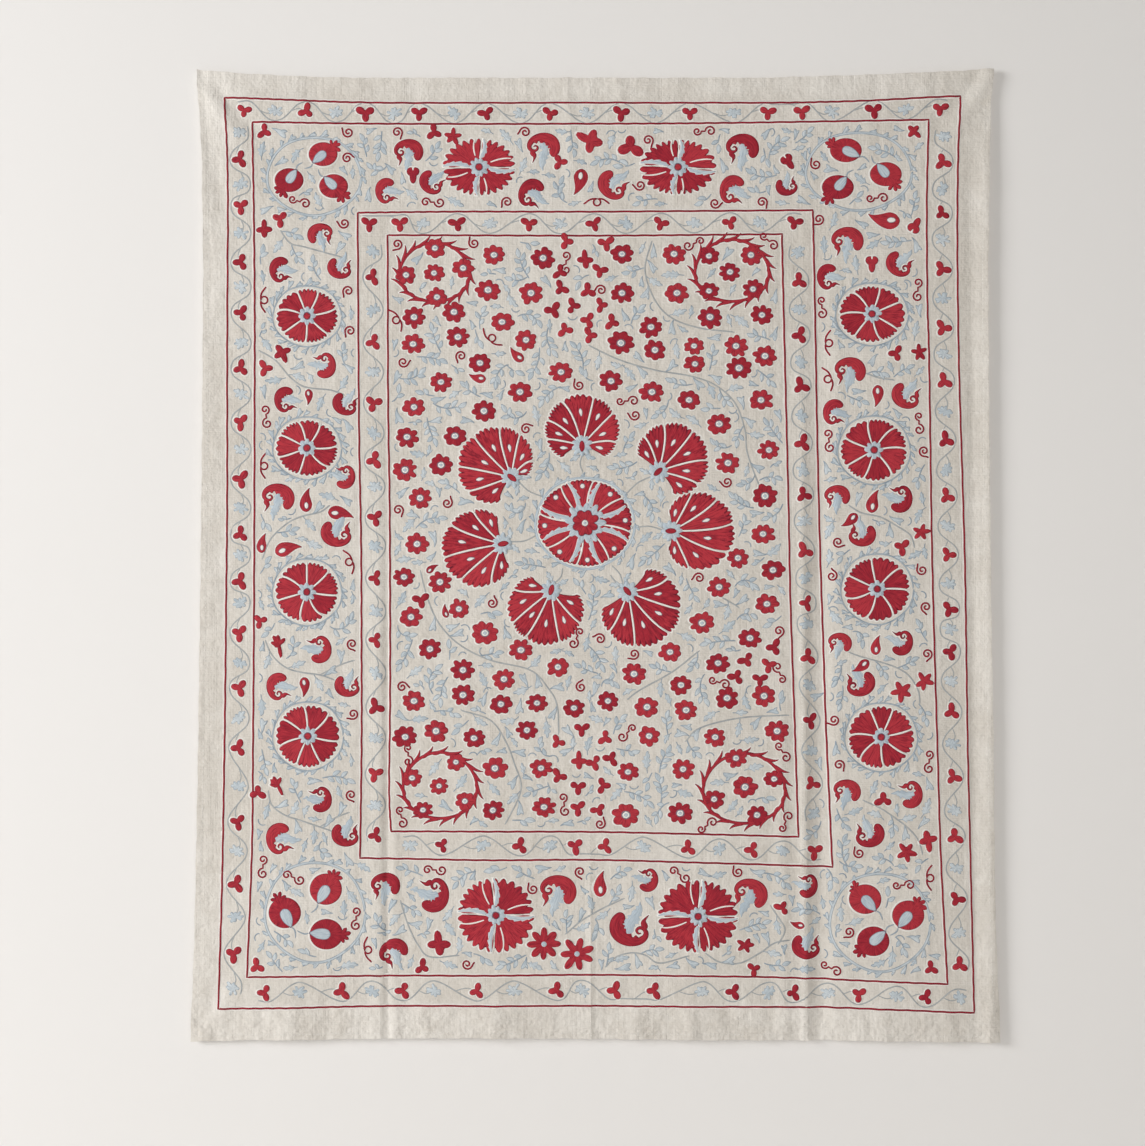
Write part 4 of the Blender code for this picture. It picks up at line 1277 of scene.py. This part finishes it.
class Ground:
    """The cloth in cells of one unit, which are marked as thread is laid on them."""

    def __init__(self, sewn):
        self.taken = np.zeros((1150, 1150), dtype=bool)
        for thread in sewn.values():
            if thread.points:
                laid = np.concatenate(thread.points)
                self.take(laid[:, 0], laid[:, 1], 1.6)

    def take(self, across, down, radius):
        """Marks every cell within a radius of the points."""
        shifts = np.arange(-int(radius), int(radius) + 1)
        right, below = [grid.ravel() for grid in np.meshgrid(shifts, shifts)]
        near = right**2 + below**2 <= radius**2
        across, down = np.atleast_1d(across), np.atleast_1d(down)
        rows = np.rint(down).astype(int)[:, None] + below[near]
        self.taken[rows, np.rint(across).astype(int)[:, None] + right[near]] = True

    def is_free(self, across, down):
        return not self.taken[np.rint(down).astype(int), np.rint(across).astype(int)].any()


def sides_of(parts):
    """Points along the middle and both sides of a leaf's parts, without the first third of its first part and
    the first point of each other part."""
    rows = []
    for number, part in enumerate(parts):
        part = part[len(part) // 3:] if number == 0 else part[1:]
        ahead = np.gradient(part[:, :2], axis=0)
        ahead = ahead / np.maximum(np.hypot(*ahead.T), 1e-6)[:, None]
        normal = np.stack([-ahead[:, 1], ahead[:, 0]], axis=1)
        rows += [part[:, :2], part[:, :2] + normal * part[:, 2:3], part[:, :2] - normal * part[:, 3:4]]
    return np.concatenate(rows)


def grow(sewn, ground, shape, across, down, ways, length):
    """Tries a leaf in each way until one touches nothing, then lays it and marks its ground."""
    for way in ways:
        parts = shape(across, down, way, length)
        places = sides_of(parts)
        if ground.is_free(places[:, 0], places[:, 1]):
            lay_leaf(sewn, parts)
            ground.take(places[:, 0], places[:, 1], 1.9)
            return


# The grounds for leaves, from and to across and then down, and the leaves in their order: length, kind, and
# the square units of ground for each try
LEAF_AREAS = ((391, 784, 239, 829), (257, 355, 127, 972), (821, 929, 127, 977), (355, 821, 127, 208),
              (355, 831, 866, 972))
LEAF_PASSES = ((32, long_branch, 12), (25, short_branch, 12), (22, jagged_leaf, 16), (20, forked_leaf, 14),
               (17, swallow, 14), (15, jagged_leaf, 14), (14, forked_leaf, 16), (13, swallow, 14),
               (12, tendril, 40))


def vines_and_leaves(sewn):
    """Vines as thin chains with leaves on alternate sides. Then leaves go wherever the ground is still free:
    places are drawn at random, and each leaf turns until it touches nothing. Long leaves come first, and
    small ones last."""
    ground = Ground(sewn)
    for fan in FANS:
        way = np.radians(fan.way)
        for share in (0.30, 0.62):
            far = share * fan.front
            ground.take(fan.across + far * np.cos(way), fan.down + far * np.sin(way), 24)
    for across, down, half_across, half_down in (*ROSETTES, *JAGGED_ROSETTES, (*MEDALLION, *MEDALLION_SIZE)):
        ground.take(across, down, max(half_across, half_down) - 3)
    for across, down, way, radius, squash in POMEGRANATES:
        ground.take(across, down, radius * squash)
    for vine in VINES:
        path = smooth_path(vine, 3.0)
        ribbon(sewn["vines"], np.column_stack([path, np.full(len(path), 0.9)]), VINE_HEIGHT, 0.5, strands=3)
        ahead = np.gradient(path, axis=0)
        for number, at in enumerate(range(1, len(path) - 1, 3)):
            side = 1 if number % 2 else -1
            way = np.degrees(np.arctan2(ahead[at, 1], ahead[at, 0])) + side * 45
            shape, length = ((short_branch, 22), (jagged_leaf, 20), (swallow, 17))[number % 3]
            grow(sewn, ground, shape, *path[at], way + draws.uniform(-15, 30, 6) * side, length)
        ground.take(path[:, 0], path[:, 1], 1.6)
    for length, shape, sparse in LEAF_PASSES:
        for low_across, high_across, low_down, high_down in LEAF_AREAS:
            tries = int((high_across - low_across) * (high_down - low_down) / sparse)
            places = draws.uniform((low_across, low_down), (high_across, high_down), (tries, 2))
            ways = draws.uniform(0, 360, (tries, 4))
            out = length * np.array([0.0, 0.2, 0.4, 0.6, 0.75])
            line_across = places[:, 0, None, None] + out * np.cos(np.radians(ways))[..., None]
            line_down = places[:, 1, None, None] + out * np.sin(np.radians(ways))[..., None]
            clear = ~ground.taken[line_down.astype(int), line_across.astype(int)].any(axis=2)
            for at in np.flatnonzero(clear.any(axis=1)):
                if ground.is_free(*places[at]):
                    size = length * draws.uniform(0.9, 1.1)
                    grow(sewn, ground, shape, *places[at], ways[at][clear[at]], size)


def pomegranate_rings(sewn):
    """The leafy blue rings round the pomegranates in the four corners."""
    for row in POMEGRANATE_RINGS:
        leafy_ring(sewn, *row, 26, wide=1.6)


# Stitches of the seams and hems: how far apart they start, and the length of a hem's stitch

SEAM_STITCH_STEP = 3.4
HEM_STITCH_STEP = 3.6
HEM_STITCH = 1.8


def seam_stitches(sewn):
    """Short slanted stitches across each seam, one every few units down."""
    for name in ("seam_1", "seam_2", "seam_3"):
        for down in np.arange(80.0, 1040.0, SEAM_STITCH_STEP):
            across = column_at(to_z(down), name) / UNIT + MIDDLE_ACROSS
            lean = draws.normal(0, 0.25)
            stitch = [(across - 1.0, down - 0.7 + lean, 0.22), (across, down, 0.30),
                      (across + 1.0, down + 0.7 + lean, 0.22)]
            ribbon(sewn["seam_stitches"], stitch, 0.30, draws.random(), strands=3, ends=False)


def hem_stitches(sewn):
    """A running stitch along the inner edge of the bottom and side hems: dashes with gaps between them."""
    inset = HEM_WIDTH / UNIT - 0.6
    for down in np.arange(84.0, 1036.0, HEM_STITCH_STEP):
        for name, side in (("left", 1), ("right", -1)):
            across = column_at(to_z(down), name) / UNIT + MIDDLE_ACROSS + side * inset
            stitch = [(across, down, 0.25), (across, down + HEM_STITCH, 0.25)]
            ribbon(sewn["hem_stitches"], stitch, 0.28, draws.random(), strands=3, ends=False)
    for across in np.arange(198.0, 992.0, HEM_STITCH_STEP):
        down = TOP_DOWN - edge_at(to_x(across), BOTTOM_EDGE) / UNIT - inset
        stitch = [(across, down, 0.25), (across + HEM_STITCH, down, 0.25)]
        ribbon(sewn["hem_stitches"], stitch, 0.28, draws.random(), strands=3, ends=False)


# Materials

class Value:
    """A socket of numbers, on which Python's operators add Math nodes."""

    def __init__(self, shader, socket):
        self.shader, self.socket = shader, socket

    def _math(self, operation, *inputs):
        return self.shader.node("ShaderNodeMath", {"operation": operation}, inputs).number(0)

    def __add__(self, other):
        return self._math("ADD", self, other)

    def __radd__(self, other):
        return self._math("ADD", other, self)

    def __sub__(self, other):
        return self._math("SUBTRACT", self, other)

    def __rsub__(self, other):
        return self._math("SUBTRACT", other, self)

    def __mul__(self, other):
        return self._math("MULTIPLY", self, other)

    def __rmul__(self, other):
        return self._math("MULTIPLY", other, self)

    def sine(self):
        return self._math("SINE", self)

    def least(self, other):
        return self._math("MINIMUM", self, other)


class Node:
    """One placed node, whose outputs are read by number or name."""

    def __init__(self, shader, node):
        self.shader, self.node = shader, node

    def number(self, output):
        return Value(self.shader, self.node.outputs[output])

    def out(self, output):
        return self.node.outputs[output]


class Shader:
    """A material's nodes, built up from Python."""

    def __init__(self, name):
        self.material = bpy.data.materials.new(name)
        self.material.use_nodes = True
        self.tree = self.material.node_tree
        self.surface = self.tree.nodes["Principled BSDF"]

    def node(self, kind, settings=None, sockets=()):
        """A node of a type, with its settings first and then its sockets, by order or by name."""
        node = self.tree.nodes.new(kind)
        for name, value in (settings or {}).items():
            setattr(node, name, value)
        pairs = sockets.items() if isinstance(sockets, dict) else enumerate(sockets)
        for key, value in pairs:
            self.join(value, node.inputs[key])
        return Node(self, node)

    def join(self, value, socket):
        if isinstance(value, Value):
            self.tree.links.new(value.socket, socket)
        elif isinstance(value, bpy.types.NodeSocket):
            self.tree.links.new(value, socket)
        else:
            socket.default_value = value

    def place(self):
        return self.node("ShaderNodeTexCoord").out("Object")

    def map(self, name):
        """A UV map's two numbers."""
        uv = self.node("ShaderNodeUVMap", {"uv_map": name}).out("UV")
        parts = self.node("ShaderNodeSeparateXYZ", sockets=(uv,))
        return parts.number(0), parts.number(1)

    def vector(self, x, y, z):
        return self.node("ShaderNodeCombineXYZ", sockets=(x, y, z)).out(0)

    def stretched(self, vector, scale):
        return self.node("ShaderNodeMapping", sockets={"Vector": vector, "Scale": scale}).out(0)

    def noise(self, vector, scale, detail=2.0, rough=0.5):
        return self.node("ShaderNodeTexNoise", sockets={"Vector": vector, "Scale": scale, "Detail": detail,
                                                        "Roughness": rough}).number("Fac")

    def between(self, value, low, high):
        """0 where the value is under low, 1 over high, and smooth between them."""
        return self.node("ShaderNodeMapRange", {"interpolation_type": "SMOOTHSTEP"},
                         {"Value": value, "From Min": low, "From Max": high}).number(0)

    def blend(self, share, first, second):
        """Two colours mixed by a share."""
        colour = lambda c: c if isinstance(c, bpy.types.NodeSocket) else (*c, 1.0)
        sockets = {0: share, 6: colour(first), 7: colour(second)}
        return self.node("ShaderNodeMix", {"data_type": "RGBA"}, sockets).out(2)

    def finish(self, colour, height=None, distance=0.0005, **numbers):
        """Links the colour and the bump, and sets the plain numbers on the shader's own sockets."""
        self.join(colour, self.surface.inputs["Base Color"])
        if height is not None:
            sockets = {"Height": height, "Distance": distance, "Strength": 1.0}
            bump = self.node("ShaderNodeBump", sockets=sockets)
            self.join(bump.out(0), self.surface.inputs["Normal"])
        for name, value in numbers.items():
            self.join(value, self.surface.inputs[name.replace("_", " ")])
        return self.material


def cotton_material():
    """Hand-woven cotton: blotches and faint stains in its colour, painted shade over the embroidered field
    for the shadows of the puckers round its stitches, with slubs along both threads, an uneven weave, and
    soft wrinkles that grow towards its foot."""
    shader = Shader("natural_cotton")
    place = shader.place()
    cloud = shader.noise(place, 3.2, 4.0, 0.6)
    blotch = shader.noise(place, 22.0, 4.0, 0.62)
    stain = shader.between(shader.noise(place, 7.0, 5.0, 0.7), 0.60, 0.80)
    weft = shader.noise(shader.stretched(place, (6.0, 1.0, 420.0)), 1.0, 3.0, 0.6)
    warp = shader.noise(shader.stretched(place, (420.0, 1.0, 6.0)), 1.0, 3.0, 0.6)
    colour = shader.blend(shader.between(cloud * 0.6 + blotch * 0.4, 0.36, 0.62), COTTON_DARK, COTTON_PALE)
    colour = shader.blend(0.40, colour, COTTON)
    colour = shader.blend(stain * 0.30, colour, COTTON_STAIN)
    streak = shader.between(weft * 0.55 + warp * 0.45, 0.34, 0.66)
    colour = shader.blend(streak * 0.30, colour, COTTON_PALE)
    parts = shader.node("ShaderNodeSeparateXYZ", sockets=(place,))
    x, z = parts.number(0), parts.number(2)
    # Painted shade: the ground inside the frames is darkened a little, for the shadows of the puckers round
    # the stitches
    painted_field_shade = shader.between(x * x, 0.565, 0.525) * shader.between((z + 0.945) * (z + 0.945), 0.85, 0.80)
    colour = shader.blend(painted_field_shade * 0.28, colour, COTTON_DARK)
    wobble = shader.noise(place, 60.0, 2.0) * 0.9
    threads = ((x * 5200.0 + wobble).sine() * (z * 4600.0 + wobble).sine()) * 0.25
    pucker = shader.noise(place, 34.0, 3.0, 0.55)
    gathers = shader.noise(shader.stretched(place, (90.0, 1.0, 9.0)), 1.0, 2.0, 0.5)
    gathers = gathers * (shader.between(z, -1.89, -1.92) * 1.3 + shader.between(z, -0.03, 0.0) * 0.5)
    wrinkles = shader.noise(place, 16.0, 3.0, 0.6) * (1.5 + shader.between(z, -1.80, -1.90) * 8.0)
    ripple = shader.noise(shader.stretched(place, (34.0, 1.0, 5.0)), 1.0, 2.0, 0.5) * 1.6
    nap = shader.noise(place, 150.0, 3.0, 0.6)
    height = threads * 0.10 + weft * 0.85 + warp * 0.60 + pucker * 3.0 + nap * 1.1
    height = height + gathers + ripple + wrinkles
    return shader.finish(colour, height, 0.0012, Roughness=0.92, Sheen_Weight=0.10, Sheen_Roughness=0.6)


def laid_thread(name, main, light, dark, roughness, coarse=1.0, edge_dark=0.8, edge_width=1.1):
    """Silk laid side by side: fine streaks along the thread, small couching stitches across it in the bump, a
    tone that changes from shape to shape, painted shade in the gaps between strands, and a darker line at the
    shape's edge, partly a darker outline of thread and partly painted shade where the thread rolls down to
    the cloth."""
    shader = Shader(name)
    beside, along = shader.map("thread")
    edge, tone = shader.map("rim")
    strands = shader.noise(shader.vector(beside * 1.6 * coarse, along * 0.10, tone * 37.0), 1.0, 3.0, 0.65)
    patches = shader.noise(shader.vector(beside * 0.22, along * 0.14, tone * 19.0), 1.0, 2.0)
    light_share = shader.between(strands * 0.50 + patches * 0.25 + tone * 0.25, 0.38, 0.60)
    colour = shader.blend(light_share, main, light)
    # A darker line at each shape's edge: partly a darker outline of thread, partly painted shade where the
    # thread rolls down to the cloth
    edge_line_and_shade = 1 - shader.between(edge, edge_width * 0.45, edge_width)
    # Painted shade in the gaps between strands: darker where the strand noise, which also lowers the bump
    # there, is low
    painted_gap_shade = shader.between(strands, 0.54, 0.34) * 0.60
    colour = shader.blend((edge_line_and_shade * edge_dark + painted_gap_shade).least(1.0), colour, dark)
    couching = ((along * 2.9 + beside * 1.1).sine() * (beside * 3.9).sine()) * 0.5
    height = strands * 1.9 + couching * 0.35
    return shader.finish(colour, height, 0.0005, Roughness=roughness, Specular_IOR_Level=0.15)


def stage_material(name, colour, one_sided=False):
    """Plain matt paint. If one-sided, it is clear from behind, so that the hanging is seen from there too."""
    shader = Shader(name)
    place = shader.place()
    tone = shader.noise(place, 1.5, 2.0)
    paint = shader.blend(tone * 0.3, colour, tuple(0.96 * c for c in colour))
    shader.finish(paint, Roughness=0.95)
    if one_sided:
        behind = shader.node("ShaderNodeNewGeometry").number("Backfacing")
        clear = shader.node("ShaderNodeBsdfTransparent").out(0)
        mix = shader.node("ShaderNodeMixShader", sockets=(behind, shader.surface.outputs[0], clear))
        shader.tree.links.new(mix.out(0), shader.tree.nodes["Material Output"].inputs["Surface"])
    return shader.material


# The strips of cloth

def fine_columns():
    """Shares of a strip's width, close together near its two seams."""
    near = np.linspace(0.0, SEAM_SHARE, SEAM_COLUMNS)
    middle = np.linspace(SEAM_SHARE, 1 - SEAM_SHARE, MIDDLE_COLUMNS)[1:-1]
    return np.concatenate([near, middle, 1 - near[::-1]])


def strip_surface(number):
    """Front and back points of one strip: rows go from the top edge down, and columns from side to side."""
    borders = ("left", "seam_1", "seam_2", "seam_3", "right")
    first, last = number == 0, number == len(STRIP_NAMES) - 1
    rows = np.linspace(0.0, 1.0, FINE_ROWS)[:, None]
    columns = fine_columns()[None, :]
    height = CLOTH_TOP - rows * (CLOTH_TOP + CLOTH_HEIGHT)
    start = column_at(height, borders[number]) + (0.0 if first else SEAM_GAP / 2)
    end = column_at(height, borders[number + 1]) - (0.0 if last else SEAM_GAP / 2)
    if first:
        start = start + 0.0006 * np.sin(height * 61) + 0.0004 * np.sin(height * 173)
    if last:
        end = end + 0.0006 * np.sin(height * 57 + 1) + 0.0004 * np.sin(height * 161)
    x = start + columns * (end - start)
    top, bottom = edge_at(x, TOP_EDGE), edge_at(x, BOTTOM_EDGE)
    top = top + 0.0005 * np.sin(x * 83) + 0.0004 * np.sin(x * 211)
    bottom = bottom + 0.0006 * np.sin(x * 71) + 0.0004 * np.sin(x * 190)
    z = top + rows * (bottom - top)
    distance = hem_distance(x, z, first, last)
    hem = 1 - smooth_step((distance - HEM_WIDTH) / 0.002)
    groove = 0.0008 * np.exp(-(((distance - HEM_WIDTH) / 0.0026) ** 2))
    face = face_y(x, z)
    front = np.stack([x, face + groove, z], axis=-1)
    back = np.stack([x, face + CLOTH_THICKNESS + (HEM_THICKNESS - CLOTH_THICKNESS) * hem, z], axis=-1)
    return front, back


def cloth_strip(number, material):
    """One closed strip: the front and back grids, and a band round their rim. It stands for its solid."""
    front, back = strip_surface(number)
    rows, columns = front.shape[:2]
    count = rows * columns
    index = np.arange(count).reshape(rows, columns)
    quads = np.stack([index[:-1, :-1], index[:-1, 1:], index[1:, 1:], index[1:, :-1]], axis=2).reshape(-1, 4)
    faces = [quads[:, [0, 3, 2, 1]], quads + count]
    ring = np.concatenate([index[0, :-1], index[:-1, -1], index[-1, :0:-1], index[:0:-1, 0]])
    ahead = np.roll(ring, -1)
    faces.append(np.stack([ring, ahead, ahead + count, ring + count], axis=1))
    faces = np.concatenate(faces)
    points = np.concatenate([front.reshape(-1, 3), back.reshape(-1, 3)])
    name = STRIP_NAMES[number]
    strip = make_mesh("woven_" + name, points, faces.ravel(), np.full(len(faces), 4), {}, material)
    strip.data.set_sharp_from_angle(angle=np.radians(50))
    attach(strip, "root")
    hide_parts(name)
    return strip


# The whole hanging and its stage

def embroider():
    """Every motif in its thread, then the borders, the vines and leaves between them, and the stitches."""
    red = laid_thread("red_silk", RED, RED_LIGHT, RED_DARK, 0.58)
    red_line = laid_thread("red_chain", RED_LINE, RED_LINE_LIGHT, RED_DARK, 0.65, 1.2, 0.4, 0.6)
    blue = laid_thread("blue_silk", BLUE, BLUE_LIGHT, BLUE_DARK, 0.60, 1.0, 0.55, 1.0)
    leaf_blue = laid_thread("blue_leaf_silk", LEAF_BLUE, LEAF_LIGHT, LEAF_RIM, 0.70, 1.0, 0.70, 1.15)
    dark = laid_thread("dark_blue_silk", BLUE_RIM, BLUE_RIM, BLUE_RIM, 0.65)
    grey = laid_thread("grey_chain", GREY, GREY_LIGHT, GREY_DARK, 0.75, 2.0, 0.3, 0.4)
    # The pale outline round every motif is partly thread and partly a painted highlight of the puckered cloth
    # beside it
    outline = laid_thread("pale_outline", PALE_OUTLINE_AND_HALO, PALE_OUTLINE_AND_HALO_LIGHT, PALE_SHADE, 0.80, 1.5, 0.15, 0.5)
    pale = laid_thread("pale_cotton", PALE, PALE_LIGHT, PALE_SHADE, 0.80, 1.5, 0.15, 0.5)
    pieces = {
        "outlines": (outline, "pale_thread"), "flowers": (red, "red_thread"), "fans": (red, "red_thread"),
        "botehs": (red, "red_thread"), "red_leaves": (red, "red_thread"), "spots": (red, "red_thread"),
        "wreaths": (red, "red_thread"), "curls": (red_line, "red_thread"),
        "frame_lines": (red_line, "red_thread"),
        "middles": (blue, "blue_thread"), "boteh_leaves": (blue, "blue_thread"),
        "blue_leaves": (leaf_blue, "blue_thread"), "dark_rims": (dark, "blue_thread"),
        "vines": (grey, "grey_thread"), "white_rings": (pale, "pale_thread"),
        "dividers": (pale, "pale_thread"), "pale_spots": (pale, "pale_thread"),
        "seam_stitches": (pale, "pale_thread"), "hem_stitches": (pale, "pale_thread"),
    }
    sewn = {name: Thread(name, material, slot) for name, (material, slot) in pieces.items()}
    for name in REVERSE_NAMES:
        sewn[name].reverse = Thread(name + "_reverse", sewn[name].material, sewn[name].slot)
    for across, down in SMALL_FLOWERS:
        near = min(np.hypot(a - across, (d - down) / FLOWER_SQUASH) for a, d in SMALL_FLOWERS if a != across)
        small_flower(sewn, across, down, min(FLOWER_RADIUS, 0.52 * near))
    for across, down in WREATH_FLOWERS:
        small_flower(sewn, across, down, WREATH_FLOWER_RADIUS)
    for across, down in LARGER_FLOWERS:
        small_flower(sewn, across, down, LARGER_FLOWER_RADIUS)
    for fan in FANS:
        carnation_fan(sewn, fan)
    medallion(sewn)
    motifs = ((wheel_rosette, ROSETTES), (jagged_rosette, JAGGED_ROSETTES), (pomegranate, POMEGRANATES),
              (wreath, WREATHS), (boteh, BOTEHS), (drop, DROPS), (heart, HEARTS),
              (leaf_flower, LEAF_FLOWERS), (star_flower, STAR_FLOWERS), (curl, CURLS))
    for motif, rows in motifs:
        for row in rows:
            motif(sewn, *row)
    frame_lines(sewn)
    narrow_border(sewn, OUTER_LINES, SECOND_LINES, OUTER_RED, OUTER_BLUE)
    narrow_border(sewn, THIRD_LINES, INNER_LINES, INNER_RED, INNER_BLUE)
    pomegranate_rings(sewn)
    vines_and_leaves(sewn)
    seam_stitches(sewn)
    hem_stitches(sewn)
    for thread in sewn.values():
        thread.sew()
        if thread.reverse:
            thread.reverse.sew(back=True)


def plane(name, corners, material):
    """A flat four-cornered piece of the stage."""
    points = np.array(corners, dtype=float)
    piece = make_mesh(name, points, np.arange(4), np.array([4]), {}, material)
    return piece


def set_stage():
    """A pale backdrop close behind the cloth, which casts no shadow, and a floor."""
    corners = ((-4, BACKDROP_Y, FLOOR_Z), (4, BACKDROP_Y, FLOOR_Z), (4, BACKDROP_Y, 2.2),
               (-4, BACKDROP_Y, 2.2))
    backdrop = plane("backdrop", corners, stage_material("pale_wall", BACKDROP_COLOUR, True))
    backdrop.visible_shadow = False
    corners = ((-4, -5, FLOOR_Z), (4, -5, FLOOR_Z), (4, 4, FLOOR_Z), (-4, 4, FLOOR_Z))
    plane("floor", corners, stage_material("pale_floor", FLOOR_COLOUR))


def area_light(name, place, target, size, watts, colour):
    """A soft lamp at a place, turned towards a target."""
    data = bpy.data.lights.new(name, "AREA")
    data.shape = "SQUARE"
    data.size = size
    data.energy = watts
    data.color = colour
    lamp = bpy.data.objects.new(name, data)
    lamp.location = place
    lamp.rotation_euler = (Vector(target) - Vector(place)).to_track_quat("-Z", "Y").to_euler()
    bpy.context.scene.collection.objects.link(lamp)


def set_light():
    """Strong soft light from the left, weak light from the front and from behind, and a little all round."""
    for lamp in LAMPS:
        area_light(*lamp)
    world = bpy.data.worlds.new("soft_room")
    world.use_nodes = True
    background = world.node_tree.nodes["Background"]
    background.inputs["Color"].default_value = ROUND_COLOUR
    background.inputs["Strength"].default_value = ROUND_STRENGTH
    bpy.context.scene.world = world


def set_camera():
    """A level camera in front of the cloth, which looks along +Y."""
    data = bpy.data.cameras.new("view")
    data.lens = LENS
    data.sensor_width = SENSOR
    camera = bpy.data.objects.new("view", data)
    camera.location = CAMERA_PLACE
    camera.rotation_euler = (np.pi / 2, 0.0, 0.0)
    bpy.context.scene.collection.objects.link(camera)
    bpy.context.scene.camera = camera
    bpy.context.scene.view_settings.view_transform = "Standard"


cotton = cotton_material()
for strip_number in range(len(STRIP_NAMES)):
    cloth_strip(strip_number, cotton)
embroider()
set_stage()
set_light()
set_camera()
